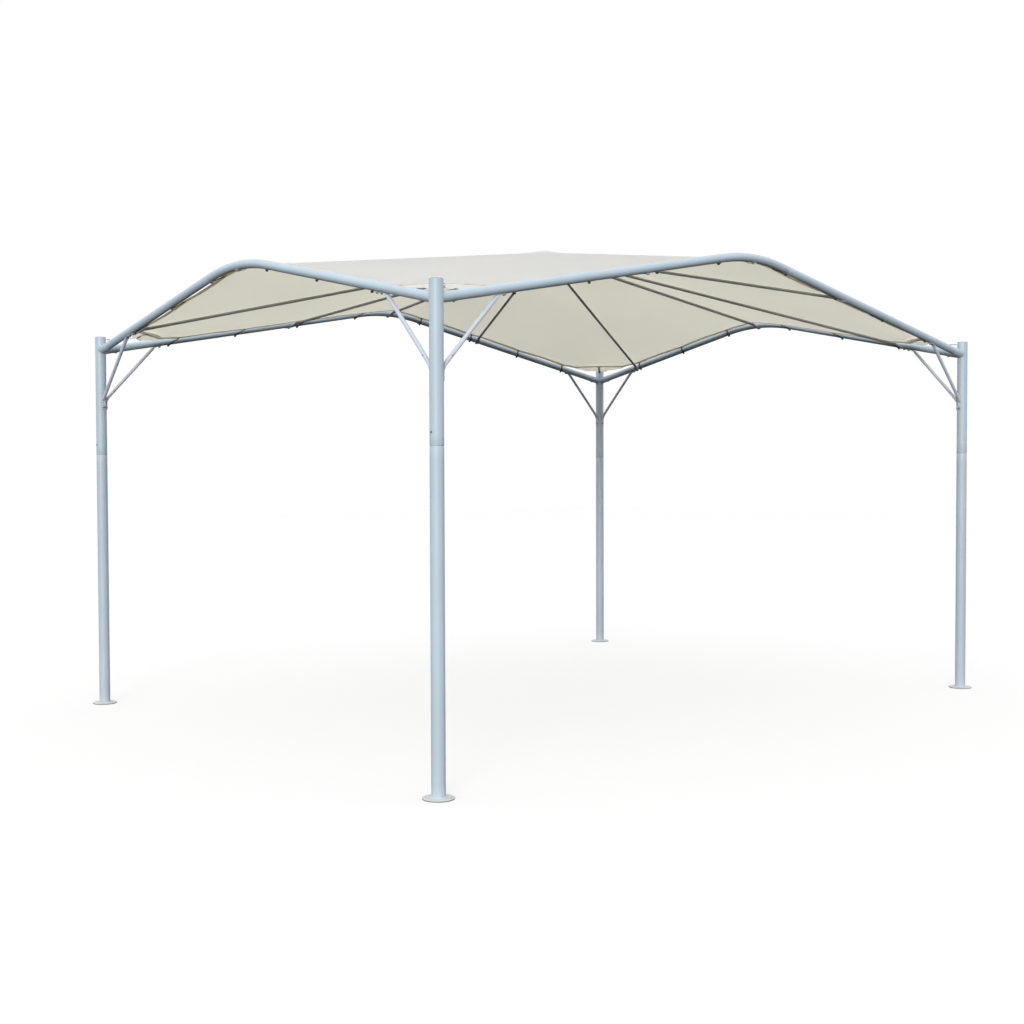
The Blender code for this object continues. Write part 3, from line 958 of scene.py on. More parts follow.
def net_pull(z, weights):
    """What the neighbours' heights pull on each point of the net."""
    out, around, rising, falling = weights
    total = np.zeros(z.shape)
    force = out * (z[1:] - z[:-1])
    total[:-1] += force
    total[1:] -= force
    force = around * (np.roll(z, -1, axis=1) - z)
    total += force - np.roll(force, 1, axis=1)
    force = rising * (np.roll(z[1:], -1, axis=1) - z[:-1])
    total[:-1] += force
    total[1:] -= np.roll(force, 1, axis=1)
    force = falling * (np.roll(z[:-1], -1, axis=1) - z[1:])
    total[1:] += force
    total[:-1] -= np.roll(force, 1, axis=1)
    return total


def settle(z, free, weights):
    """Move the free points of the net until nothing pulls on them, by conjugate gradients."""
    out, around, rising, falling = (np.abs(w) for w in weights)
    diagonal = around + np.roll(around, 1, axis=1)
    diagonal[:-1] += out + rising + np.roll(falling, 1, axis=1)
    diagonal[1:] += out + falling + np.roll(rising, 1, axis=1)
    rest = net_pull(z, weights) * free
    guess = rest / diagonal
    line = guess.copy()
    power = np.sum(rest * guess)
    for _ in range(SOLVER_STEPS):
        answer = -net_pull(line, weights) * free
        step = power / np.sum(line * answer)
        z = z + step * line
        rest = rest - step * answer
        guess = rest / diagonal
        after = np.sum(rest * guess)
        if after < SOLVER_LIMIT:
            break
        line = guess + line * (after / power)
        power = after
    return z


def spoke_floor(x, y):
    """The lowest height that the fabric's middle surface may have over the spokes and their sockets."""
    floor = np.full(x.shape, -1.0)
    clearance = SPOKE_CLEARANCE + CLOTH_THICKNESS / 2
    for _, side, run in spoke_targets():
        knee = spoke_place(side, run, *SPOKE_KNEE) - HUB_CENTRE
        reach = math.hypot(knee.x, knee.y)
        along = (x * knee.x + y * knee.y) / reach
        aside = np.abs(x * knee.y - y * knee.x) / reach
        for radius, last in ((SOCKET_RADIUS, SOCKET_REACH), (SPOKE_RADIUS, reach)):
            over = (along > 0) & (along < last) & (aside < radius)
            height = HUB_AXIS + along * knee.z / reach + np.sqrt(np.maximum(radius**2 - aside**2, 0))
            floor = np.where(over, np.maximum(floor, height + clearance), floor)
    spot = np.hypot(x, y)
    drum = HUB_TOP - HUB_DOME * (spot / HUB_RADIUS) ** 2 + clearance
    return np.where(spot < HUB_RADIUS * DRUM_REACH, np.maximum(floor, drum), floor)


class Cloth:
    """The roof's middle surface: a net of rings from the hub out to the hem."""

    def __init__(self):
        self.hem, self.ties, self.corners = hem_outline()
        hem = self.hem
        reach = np.hypot(hem[:, 0], hem[:, 1])
        way = hem[:, :2] / reach[:, None]
        tangent = np.roll(hem, -1, axis=0) - np.roll(hem, 1, axis=0)
        normal = np.stack([tangent[:, 1], -tangent[:, 0]], axis=1)
        normal /= np.linalg.norm(normal, axis=1)[:, None]
        lean = np.sum(way * normal, axis=1)
        edge = {inset: reach - inset / lean for inset in EDGE_RINGS}
        shares = np.linspace(0, 1, INNER_RINGS) ** RING_GRADING
        inner = [SHEET_DISC + (edge[EDGE_RINGS[0]] - SHEET_DISC) * share for share in shares]
        radii = np.array(inner[:-1] + [edge[inset] for inset in EDGE_RINGS])
        self.x = radii * way[:, 0]
        self.y = radii * way[:, 1]
        self.insets = np.array([1.0] * (INNER_RINGS - 1) + list(EDGE_RINGS))
        solved = list(range(INNER_RINGS - 1))
        solved += [INNER_RINGS - 1 + EDGE_RINGS.index(inset) for inset in SOLVED_EDGE_RINGS]
        self.z = self.heights(radii, solved)
        self.z += self.ripples(radii, reach, lean)
        self.z = np.maximum(self.z, spoke_floor(self.x, self.y))
        self.points = np.stack([self.x, self.y, self.z], axis=2)
        self.normals = self.surface_normals()

    def heights(self, radii, solved):
        x, y = self.x[solved], self.y[solved]
        floor = spoke_floor(x, y)
        top = HUB_TOP + SPOKE_CLEARANCE + CLOTH_THICKNESS / 2
        share = (radii[solved] - SHEET_DISC) / (radii[-1] - SHEET_DISC)
        cone = top + (self.hem[:, 2] - top) * share
        weights = spring_weights(x, y)
        free = np.ones(x.shape)
        free[0] = 0
        free[-1] = 0
        z = cone.copy()
        touching = np.zeros(x.shape, dtype=bool)
        for _ in range(CONTACT_ROUNDS):
            z = np.where(touching, floor, z)
            z = settle(z, free * ~touching, weights)
            lifting = net_pull(z, weights) > 0
            touching = (touching & ~lifting) | (z < floor)
            touching[0] = False
            touching[-1] = False
        z = z * (1 - CONE_SHARE) + cone * CONE_SHARE
        result = np.empty(radii.shape)
        result[solved] = z
        last_solved = 0
        for ring in range(len(radii)):
            if ring in solved:
                last_solved = ring
                continue
            following = min(number for number in solved if number > ring)
            gap = radii[following] - radii[last_solved]
            part = (radii[ring] - radii[last_solved]) / gap
            result[ring] = result[last_solved] * (1 - part) + result[following] * part
        return result

    def ripples(self, radii, reach, lean):
        """Small creases that run in from the ties, and a faint flutter of the hem."""
        steps = np.linalg.norm(np.roll(self.hem, -1, axis=0) - self.hem, axis=1)
        around = np.concatenate([[0.0], np.cumsum(steps)[:-1]])
        total = np.sum(steps)
        depth = (reach - radii) * lean
        fade = np.exp(-depth / PUCKER_REACH) * depth / (depth + HEM_WIDTH)
        wave = np.zeros(len(around))
        for order, (index, _, _) in enumerate(self.ties):
            distance = (around - around[index] + total / 2) % total - total / 2
            pitch = PUCKER_PITCH * (1 + 0.25 * math.sin(2.4 * order))
            wave += np.exp(-((distance / PUCKER_WIDTH) ** 2)) * np.cos(2 * math.pi * distance / pitch)
        turn = 2 * math.pi * around / total
        flutter = sum(np.sin(number * turn + 1.7 * number) for number in (53, 71, 97, 118)) / 4
        near_hem = np.exp(-depth / PUCKER_REACH)
        return PUCKER_DEPTH * fade * wave + FLUTTER_DEPTH * near_hem * flutter * (self.insets[:, None] > 0)

    def surface_normals(self):
        out = np.empty(self.points.shape)
        out[1:-1] = self.points[2:] - self.points[:-2]
        out[0] = self.points[1] - self.points[0]
        out[-1] = self.points[-1] - self.points[-2]
        around = np.roll(self.points, -1, axis=1) - np.roll(self.points, 1, axis=1)
        normals = np.cross(out, around)
        normals *= np.sign(normals[:, :, 2:3])
        return normals / np.linalg.norm(normals, axis=2)[:, :, None]

    def at(self, column, inset):
        """The surface point and its normal in a column of the net, at a distance in from the hem."""
        rows = slice(INNER_RINGS - 1, None)
        insets = self.insets[rows][::-1]
        point = [np.interp(inset, insets, self.points[rows, column, axis][::-1]) for axis in range(3)]
        normal = [np.interp(inset, insets, self.normals[rows, column, axis][::-1]) for axis in range(3)]
        return Vector(point), Vector(normal).normalized()

    def over(self, x, y):
        """The surface height over a place, for the middle seam."""
        turns = np.arctan2(self.hem[:, 1], self.hem[:, 0])
        order = np.argsort(turns)
        turn = math.atan2(y, x)
        heights = []
        spot = math.hypot(x, y)
        place = np.searchsorted(turns[order], turn) % len(order)
        lower, upper = order[place - 1], order[place]
        gap = (turns[upper] - turns[lower]) % (2 * math.pi)
        part = ((turn - turns[lower]) % (2 * math.pi)) / gap
        for column in (lower, upper):
            radii = np.hypot(self.x[:, column], self.y[:, column])
            heights.append(np.interp(spot, radii, self.z[:, column]))
        return heights[0] * (1 - part) + heights[1] * part


def half_thickness(inset):
    if inset == 0.0:
        return CLOTH_THICKNESS / 2
    return CLOTH_THICKNESS / 2 + (HEM_FOLD if inset <= HEM_WIDTH else 0.0)


def make_sheet(cloth, fabric, hem_fabric):
    rings, count = cloth.z.shape
    half = np.array([half_thickness(inset) for inset in cloth.insets])[:, None, None]
    centre = cloth.points[0].mean(axis=0)
    vertices = []
    faces = []
    hem_faces = []
    for way in (1, -1):
        base = len(vertices)
        surface = cloth.points + way * half * cloth.normals
        vertices += surface.reshape(-1, 3).tolist()
        vertices.append([centre[0], centre[1], centre[2] + way * CLOTH_THICKNESS / 2])
        middle = base + rings * count
        for ring in range(rings - 1):
            in_hem = cloth.insets[ring] <= HEM_WIDTH + 0.002
            for step in range(count):
                after = (step + 1) % count
                inner, outer = base + ring * count, base + (ring + 1) * count
                face = (inner + step, outer + step, outer + after, inner + after)
                faces.append(face[::way])
                hem_faces.append(in_hem)
        for step in range(count):
            faces.append((middle, base + step, base + (step + 1) % count)[::way])
            hem_faces.append(False)
    top_edge = (rings - 1) * count
    low_edge = rings * count + 1 + top_edge
    for step in range(count):
        after = (step + 1) % count
        faces.append((top_edge + step, low_edge + step, low_edge + after, top_edge + after))
        hem_faces.append(True)
    mesh = bpy.data.meshes.new("canopy_fabric")
    mesh.from_pydata(vertices, [], faces)
    piece = place_piece("canopy_fabric", mesh, fabric, "canopy_cloth", "canopy_sheet")
    mesh.materials.append(hem_fabric)
    mesh.polygons.foreach_set("material_index", np.array(hem_faces, dtype=np.int32))
    return piece


def stitch_row(bm, points, normals, lift):
    """Short thread stitches along a row of points, raised by a lift along the normals."""
    travelled = 0.0
    next_at = STITCH_PITCH
    shape = ((-0.5, 0.5), (-0.36, 1.0), (0.36, 1.0), (0.5, 0.5))
    for (first, last), normal in zip(zip(points, points[1:]), normals):
        step = last - first
        length = step.length
        while next_at < travelled + length:
            forward = step / length
            side = forward.cross(normal).normalized()
            spot = first + forward * (next_at - travelled) + normal * lift
            rings = []
            for share, width in shape:
                size = STITCH_RADIUS * width
                centre = spot + forward * (STITCH_LENGTH * share)
                rings.append([centre + side * size, centre + normal * size, centre - side * size,
                              centre - normal * size])
            skin(bm, rings)
            next_at += STITCH_PITCH
        travelled += length


def make_seams(cloth, fabric, thread):
    """The hem's stitching, and the lapped middle seam with its two rows."""
    bm = bmesh.new()
    count = len(cloth.hem)
    half = half_thickness(STITCH_INSET)
    row = [cloth.at(column % count, STITCH_INSET) for column in range(count + 1)]
    points = [point for point, _ in row]
    for way in (1, -1):
        stitch_row(bm, points, [normal * way for _, normal in row], half)
    ends = max(np.hypot(cloth.x[-4], cloth.y[-4])[i] for i in range(count) if abs(cloth.hem[i, 1]) < 1e-3)
    spans = np.linspace(-ends, ends, SEAM_TAPE_STEPS)
    height = CLOTH_THICKNESS / 2
    tape = bmesh.new()
    rings = []
    rows = {-1: [], 1: []}
    for x in spans:
        low, middle, high = (cloth.over(x, y) + height for y in (-SEAM_TAPE_WIDTH / 2, 0.0, SEAM_TAPE_WIDTH / 2))
        half_width = SEAM_TAPE_WIDTH / 2
        sink = CLOTH_THICKNESS / 2
        rings.append([
            Vector((x, -half_width, low - sink)),
            Vector((x, -half_width, low + SEAM_TAPE_HEIGHT * 0.6)),
            Vector((x, -half_width * 0.85, low * 0.85 + middle * 0.15 + SEAM_TAPE_HEIGHT)),
            Vector((x, 0.0, middle + SEAM_TAPE_HEIGHT)),
            Vector((x, half_width * 0.85, high * 0.85 + middle * 0.15 + SEAM_TAPE_HEIGHT)),
            Vector((x, half_width, high + SEAM_TAPE_HEIGHT * 0.6)),
            Vector((x, half_width, high - sink)),
            Vector((x, 0.0, middle - sink)),
        ])
        for way, edge in ((-1, low), (1, high)):
            level = edge * 0.6 + middle * 0.4 + SEAM_TAPE_HEIGHT
            rows[way].append(Vector((x, way * half_width * 0.6, level)))
    skin(tape, rings)
    for line in rows.values():
        stitch_row(bm, line, [UP] * len(line), 0.0)
    return [
        new_piece("fabric_seam_tape", tape, fabric, "canopy_cloth"),
        new_piece("fabric_stitching", bm, thread, "canopy_cloth"),
    ]


def eyelet(bm, point, normal, half):
    height = half + EYELET_BULGE * 0.3
    middle = (EYELET_HOLE + EYELET_RIM) / 2
    section = [
        (EYELET_HOLE, -height),
        (EYELET_HOLE + 0.0006, -height - EYELET_BULGE * 0.7),
        (middle, -height - EYELET_BULGE),
        (EYELET_RIM - 0.0006, -height - EYELET_BULGE * 0.6),
        (EYELET_RIM, -height + EYELET_BULGE * 0.2),
        (EYELET_RIM, height - EYELET_BULGE * 0.2),
        (EYELET_RIM - 0.0006, height + EYELET_BULGE * 0.6),
        (middle, height + EYELET_BULGE),
        (EYELET_HOLE + 0.0006, height + EYELET_BULGE * 0.7),
        (EYELET_HOLE, height),
    ]
    revolve_ring(bm, facing(point, normal), section, THIN_SIDES)


def make_ties(cloth, plastic, elastic, metal):
    """Eyelets in the hem, and the elastic loops that hold it to buttons under the beams."""
    eyelets = bmesh.new()
    cords = bmesh.new()
    buttons = bmesh.new()
    wrap = BEAM_RADIUS + CORD_RADIUS
    for index, side, run in cloth.ties:
        point, normal = cloth.at(index, EYELET_INSET)
        eyelet(eyelets, point, normal, half_thickness(EYELET_INSET))
        to_post = 1 if run > side.half_length else -1
        button_run = run + to_post * TIE_SLANT
        foot, down = under_beam_point(side, button_run, BEAM_RADIUS)
        lathe(buttons, facing(foot, down), BUTTON, THIN_SIDES)
        axis = side.axis_point(button_run)
        lift_way = -down
        along = side.direction(button_run)
        hole = point - axis
        hole_u = hole.dot(side.inward)
        hole_v = hole.dot(lift_way)
        hole_w = hole.dot(along)
        above = half_thickness(EYELET_INSET) + CORD_RADIUS
        path = [
            (-0.0052, -wrap - 0.0006, 0.0, 0.5),
            (0.0, -wrap - 0.0004, 0.0, 1.0),
            (wrap * 0.32, -wrap * 0.95, 0.05, 0.9),
            (wrap * 0.62, -wrap * 0.80, 0.14, 0.8),
            (wrap + (hole_u - wrap) * 0.25, -wrap * 0.5 + (hole_v + wrap * 0.5) * 0.25, 0.38, 0.7),
            (hole_u - 0.007, hole_v - 0.008, 0.88, 0.55),
            (hole_u - 0.001, hole_v - 0.002, 0.99, 0.5),
            (hole_u + 0.001, hole_v + above, 1.0, 0.48),
            (hole_u + 0.007, hole_v + above + 0.0008, 1.0, 0.45),
            (hole_u + 0.011, hole_v + above, 1.0, 0.10),
        ]
        path = cut_corners(path, 2)
        for way in (-1, 1):
            strand = [axis + side.inward * u + lift_way * v + along * (hole_w * w + way * CORD_SPREAD * s)
                      for u, v, w, s in path]
            sweep(cords, strand, CORD_RADIUS, CORD_SIDES)
    return [
        new_piece("tie_eyelets", eyelets, metal, "canopy_cloth"),
        new_piece("tie_cords", cords, elastic, "canopy_cloth"),
        new_piece("tie_buttons", buttons, plastic, "canopy_cloth"),
    ]


# The corner flaps

def flap_point(start_to_end, outward, u, v):
    """A point of a flap: u from -1 to 1 along the cut corner, v from the lap under the hem outward."""
    base = start_to_end((u + 1) / 2)
    bow = (1 - u * u) ** 0.8
    out = v * (FLAP_REACH * bow + 0.004)
    drop = FLAP_DROP * bow * max(v, 0.0) ** 1.3
    crease = FLAP_CREASE * bow * max(v, 0.0) * (
        math.sin(9.0 * u + 0.7) + 0.6 * math.sin(17.0 * u + 2.0) + 0.4 * math.sin(29.0 * u))
    lap = FLAP_LAP * min(v, 0.0)
    return base + outward * (out + lap) - UP * (drop + FLAP_GAP) + UP * crease


def make_corners(cloth, fabric, webbing, metal, thread):
    straps = bmesh.new()
    fittings = bmesh.new()
    pieces = []
    for corner, (sign_x, sign_y) in CORNERS.items():
        first, last = cloth.corners[corner]
        count = len(cloth.hem)
        line = [Vector(cloth.hem[index % count]) for index in range(first, last + 1)]
        outward = Vector((sign_x, sign_y, 0.0)).normalized()

        def cut(share):
            spot = min(max(share, 0.0), 1.0) * (len(line) - 1)
            index = min(int(spot), len(line) - 2)
            return line[index].lerp(line[index + 1], spot - index)

        us = [-0.97 + 1.94 * column / FLAP_COLUMNS for column in range(FLAP_COLUMNS + 1)]
        vs = [-1.0 + 2.0 * row / FLAP_ROWS for row in range(FLAP_ROWS + 1)]
        grid = np.array([[tuple(flap_point(cut, outward, u, v)) for u in us] for v in vs])
        pieces.append(thin_patch("corner_flap_" + corner, grid, FLAP_THICKNESS, fabric))
        middle = cut(0.5)
        tab_top = middle - outward * TAB_REACH - UP * 0.0036
        tab_tip = middle + outward * 0.012 - UP * 0.0060
        across = outward.cross(UP)
        tab = [tab_top - across * 0.016, tab_top + across * 0.016, tab_tip + across * 0.006,
               tab_tip - across * 0.006]
        skin(straps, [[p - UP * STRAP_THICKNESS / 2 for p in tab], [p + UP * STRAP_THICKNESS / 2 for p in tab]])
        anchor = post_point(corner, STRAP_POST_HEIGHT) - outward * (POST_RADIUS + 0.016)
        start = middle + outward * (FLAP_REACH * 0.45) - UP * (FLAP_DROP * 0.4 + 0.004)
        path = []
        for step in range(17):
            share = step / 16
            sag = UP * (-0.006 * math.sin(math.pi * share))
            twist = math.sin(math.pi * share) * 0.12
            path.append((start.lerp(anchor, share) + sag, across + UP * twist))
        skin(straps, [oval(p, anchor - start, side, STRAP_WIDTH / 2, STRAP_THICKNESS / 2, THIN_SIDES)
                      for p, side in path])
        slot_way = (anchor - start).normalized()
        hook_path = []
        for step in range(13):
            turn = math.pi * (0.5 + 2 * step / 12)
            hook_path.append(anchor + slot_way * (0.005 * math.cos(turn)) + across * (0.010 * math.sin(turn)))
        sweep(fittings, hook_path, 0.0016, CORD_SIDES)
        sweep(fittings, [anchor + outward * 0.003, anchor + outward * 0.011, anchor + outward * 0.018], 0.0025,
              THIN_SIDES)
        grommet_row = grid[FLAP_ROWS * 3 // 4, FLAP_COLUMNS // 2]
        eyelet(fittings, Vector(grommet_row), UP + outward * 0.4, FLAP_THICKNESS / 2)
    pieces.append(new_piece("corner_straps", straps, webbing, "canopy_cloth"))
    pieces.append(new_piece("corner_fittings", fittings, metal, "canopy_cloth"))
    return pieces


def thin_patch(name, grid, thickness, material):
    """A closed thin sheet over a grid of points."""
    rows, columns = grid.shape[:2]
    down = np.gradient(grid, axis=0)
    across = np.gradient(grid, axis=1)
    normals = np.cross(across, down)
    normals /= np.linalg.norm(normals, axis=2)[:, :, None]
    bm = bmesh.new()
    sheets = []
    for way in (1, -1):
        surface = grid + normals * (way * thickness / 2)
        sheets.append([[bm.verts.new(point) for point in row] for row in surface])
    for sheet in sheets:
        for row in range(rows - 1):
            for column in range(columns - 1):
                bm.faces.new((sheet[row][column], sheet[row][column + 1], sheet[row + 1][column + 1],
                              sheet[row + 1][column]))
    top, low = sheets
    edge = [(0, c) for c in range(columns)] + [(r, columns - 1) for r in range(1, rows)]
    edge += [(rows - 1, c) for c in range(columns - 2, -1, -1)] + [(r, 0) for r in range(rows - 2, 0, -1)]
    for (r, c), (r2, c2) in zip(edge, edge[1:] + edge[:1]):
        bm.faces.new((top[r][c], top[r2][c2], low[r2][c2], low[r][c]))
    return new_piece(name, bm, material, "canopy_cloth")


# Materials

class Finish:
    """A material under construction: its nodes and the shorthands that join them."""

    def __init__(self, name):
        self.material = bpy.data.materials.new(name)
        self.material.use_nodes = True
        self.nodes = self.material.node_tree.nodes
        self.links = self.material.node_tree.links
        self.shader = self.nodes["Principled BSDF"]
        self.place = self.nodes.new("ShaderNodeTexCoord").outputs["Object"]
        self.bumped = None

    def set(self, socket, value):
        if isinstance(value, bpy.types.NodeSocket):
            self.links.new(value, socket)
        elif hasattr(value, "__len__") and len(value) == 3 and socket.type == "RGBA":
            socket.default_value = (*value, 1.0)
        else:
            socket.default_value = value

    def noise(self, scale, detail=3.0, stretch=(1, 1, 1), roughness=0.5):
        node = self.nodes.new("ShaderNodeTexNoise")
        node.inputs["Scale"].default_value = scale
        node.inputs["Detail"].default_value = detail
        node.inputs["Roughness"].default_value = roughness
        self.links.new(self.stretched(stretch), node.inputs["Vector"])
        return node.outputs["Fac"]

    def stretched(self, stretch, turn=(0, 0, 0)):
        mapping = self.nodes.new("ShaderNodeMapping")
        mapping.inputs["Scale"].default_value = stretch
        mapping.inputs["Rotation"].default_value = turn
        self.links.new(self.place, mapping.inputs["Vector"])
        return mapping.outputs["Vector"]

    def bands(self, pitch, direction, turn=(0, 0, 0)):
        node = self.nodes.new("ShaderNodeTexWave")
        node.bands_direction = direction
        node.inputs["Scale"].default_value = 2 * math.pi / (20 * pitch)
        self.links.new(self.stretched((1, 1, 1), turn), node.inputs["Vector"])
        return node.outputs["Fac"]

    def spread(self, value, low, high, to_low=0.0, to_high=1.0):
        node = self.nodes.new("ShaderNodeMapRange")
        self.set(node.inputs["Value"], value)
        for name, number in (("From Min", low), ("From Max", high), ("To Min", to_low), ("To Max", to_high)):
            node.inputs[name].default_value = number
        return node.outputs["Result"]

    def math(self, operation, first, second):
        node = self.nodes.new("ShaderNodeMath")
        node.operation = operation
        self.set(node.inputs[0], first)
        self.set(node.inputs[1], second)
        return node.outputs["Value"]

    def mix(self, share, first, second):
        node = self.nodes.new("ShaderNodeMix")
        node.data_type = "RGBA"
        self.set(node.inputs["Factor"], share)
        self.set(node.inputs["A"], first)
        self.set(node.inputs["B"], second)
        return node.outputs["Result"]

    def bump(self, height, distance, strength=1.0):
        node = self.nodes.new("ShaderNodeBump")
        node.inputs["Distance"].default_value = distance
        node.inputs["Strength"].default_value = strength
        self.links.new(height, node.inputs["Height"])
        if self.bumped is not None:
            self.links.new(self.bumped, node.inputs["Normal"])
        self.bumped = node.outputs["Normal"]

    def edge_wear(self):
        """How far a rounded edge's direction leaves the surface's own: 0 on open faces, 1 on sharp edges."""
        rounded = self.nodes.new("ShaderNodeBevel")
        rounded.samples = WEAR_SAMPLES
        rounded.inputs["Radius"].default_value = WEAR_RADIUS
        compare = self.nodes.new("ShaderNodeVectorMath")
        compare.operation = "DOT_PRODUCT"
        self.links.new(rounded.outputs["Normal"], compare.inputs[0])
        self.links.new(self.nodes.new("ShaderNodeNewGeometry").outputs["Normal"], compare.inputs[1])
        return self.spread(compare.outputs["Value"], 0.97, 0.80)

    def height(self):
        node = self.nodes.new("ShaderNodeSeparateXYZ")
        self.links.new(self.place, node.inputs["Vector"])
        return node.outputs["Z"]

    def done(self, **values):
        names = {"colour": "Base Color", "roughness": "Roughness", "metallic": "Metallic", "coat": "Coat Weight",
                 "coat_roughness": "Coat Roughness", "sheen": "Sheen Weight", "specular": "Specular IOR Level"}
        for name, value in values.items():
            self.set(self.shader.inputs[names[name]], value)
        if self.bumped is not None:
            self.links.new(self.bumped, self.shader.inputs["Normal"])
        return self.material


def shade(colour, factor):
    return tuple(channel * factor for channel in colour)


def powder_paint(name, colour):
    """Satin powder coat: orange peel, faint cloudiness, dust near the ground, a near-black band along the bottom few
    millimetres that is ground dirt and painted contact shade, and pale worn edges.
    """
    finish = Finish(name)
    cloudy = finish.spread(finish.noise(2.6, 4.0), 0.3, 0.7)
    base = finish.mix(cloudy, shade(colour, 0.94), shade(colour, 1.04))
    streaks = finish.spread(finish.noise(24.0, 3.0, (1, 1, 0.06)), 0.55, 0.75, 0.0, 0.22)
    base = finish.mix(streaks, base, shade(colour, 0.86))
    grain = finish.spread(finish.noise(900.0, 2.0), 0.35, 0.65, 0.0, 0.10)
    base = finish.mix(grain, base, shade(colour, 1.25))
    low = finish.spread(finish.height(), 0.02, 0.34, 0.34, 0.0)
    dust = finish.math("MULTIPLY", low, finish.spread(finish.noise(38.0, 5.0), 0.35, 0.75))
    base = finish.mix(dust, base, DUST_COLOUR)
    base = finish.mix(finish.spread(finish.height(), 0.0064, 0.0080, 0.62, 0.0), base, DUST_COLOUR)
    # Darkened almost to black below about 5 mm: ground dirt and painted contact shade along the foot's rim.
    base = finish.mix(finish.spread(finish.height(), 0.0030, 0.0052, 0.80, 0.0), base, GROUND_DIRT_AND_SHADE_COLOUR)
    worn = finish.math("MULTIPLY", finish.edge_wear(), finish.spread(finish.noise(140.0, 4.0), 0.48, 0.62))
    base = finish.mix(finish.math("MULTIPLY", worn, 0.5), base, WORN_COLOUR)
    scuffs = finish.spread(finish.noise(60.0, 5.0, (1, 1, 0.3)), 0.62, 0.78, 0.0, 0.14)
    roughness = finish.math("ADD", finish.spread(finish.noise(9.0, 3.0), 0.3, 0.7, 0.43, 0.52), scuffs)
    finish.bump(finish.noise(420.0, 2.0), 0.00012, 0.55)
    finish.bump(finish.noise(90.0, 2.0), 0.00018, 0.25)
    return finish.done(colour=base, roughness=roughness, coat=0.10, coat_roughness=0.30, specular=0.38)


def woven_cloth(name, colour, through, share):
    """Woven polyester that lets part of the light through."""
    finish = Finish(name)
    warp = finish.bands(THREAD_PITCH, "X")
    weft = finish.bands(THREAD_PITCH, "Y")
    weave = finish.math("MAXIMUM", warp, weft)
    slub = finish.noise(14.0, 3.0, (1, 26, 1))
    slub_across = finish.noise(14.0, 3.0, (26, 1, 1))
    uneven = finish.math("MULTIPLY", finish.math("ADD", slub, slub_across), 0.5)
    tone = finish.spread(finish.noise(1.1, 4.0), 0.3, 0.7)
    base = finish.mix(tone, shade(colour, 0.965), shade(colour, 1.01))
    base = finish.mix(finish.spread(uneven, 0.42, 0.60, 0.0, 0.35), base, shade(colour, 0.94))
    gaps = finish.spread(weave, 0.0, 0.35, 0.22, 0.0)
    base = finish.mix(gaps, base, shade(colour, 0.72))
    soil = finish.spread(finish.noise(5.0, 6.0, roughness=0.65), 0.60, 0.80, 0.0, 0.20)
    base = finish.mix(soil, base, SOIL_COLOUR)
    finish.bump(weave, 0.00016, 0.6)
    finish.bump(finish.noise(16.0, 3.0, (1.0, 1.0, 1.0)), 0.0024, 0.20)
    finish.bump(finish.noise(55.0, 3.0), 0.0006, 0.20)
    material = finish.done(colour=base, roughness=finish.spread(uneven, 0.3, 0.7, 0.80, 0.92), sheen=0.12,
                           specular=0.25)
    glow = finish.nodes.new("ShaderNodeBsdfTranslucent")
    finish.set(glow.inputs["Color"], finish.mix(tone, shade(through, 0.965), through))
    finish.links.new(finish.bumped, glow.inputs["Normal"])
    blend = finish.nodes.new("ShaderNodeMixShader")
    blend.inputs["Fac"].default_value = share
    finish.links.new(finish.shader.outputs["BSDF"], blend.inputs[1])
    finish.links.new(glow.outputs["BSDF"], blend.inputs[2])
    finish.links.new(blend.outputs["Shader"], finish.nodes["Material Output"].inputs["Surface"])
    return material


def zinc(name, colour, roughness):
    """Plated steel with spangle and dark smudges of dirt."""
    finish = Finish(name)
    spangle = finish.spread(finish.noise(520.0, 3.0), 0.3, 0.7)
    base = finish.mix(spangle, shade(colour, 0.84), shade(colour, 1.10))
    grime = finish.spread(finish.noise(150.0, 5.0), 0.55, 0.8, 0.0, 0.5)
    base = finish.mix(grime, base, shade(colour, 0.45))
    finish.bump(finish.noise(700.0, 2.0), 0.00006, 0.6)
    return finish.done(colour=base, metallic=0.85,
                       roughness=finish.spread(finish.noise(60.0, 4.0), 0.3, 0.7, roughness, roughness + 0.18))


def moulded(name, colour, roughness):
    """Moulded plastic with a fine spark texture and a little bloom."""
    finish = Finish(name)
    bloom = finish.spread(finish.noise(30.0, 4.0), 0.4, 0.75, 0.0, 0.35)
    base = finish.mix(bloom, colour, shade(colour, 1.5))
    finish.bump(finish.noise(1300.0, 2.0), 0.00008, 0.7)
    return finish.done(colour=base, roughness=finish.spread(finish.noise(50.0), 0.3, 0.7, roughness, roughness + 0.12))


def ribbed(name, colour, pitch, direction, sheen):
    """Braided or woven narrow goods: cord, webbing and thread."""
    finish = Finish(name)
    first = finish.bands(pitch, direction, (0.0, 0.0, math.radians(45)))
    second = finish.bands(pitch, direction, (0.0, math.radians(45), math.radians(-45)))
    braid = finish.math("MAXIMUM", first, second)
    base = finish.mix(finish.spread(braid, 0.2, 0.9), shade(colour, 0.62), shade(colour, 1.15))
    base = finish.mix(finish.spread(finish.noise(45.0, 4.0), 0.35, 0.7, 0.0, 0.4), base, shade(colour, 0.8))
    finish.bump(braid, pitch * 0.22, 0.8)
    return finish.done(colour=base, roughness=finish.spread(finish.noise(70.0), 0.3, 0.7, 0.72, 0.9), sheen=sheen)


# Surroundings

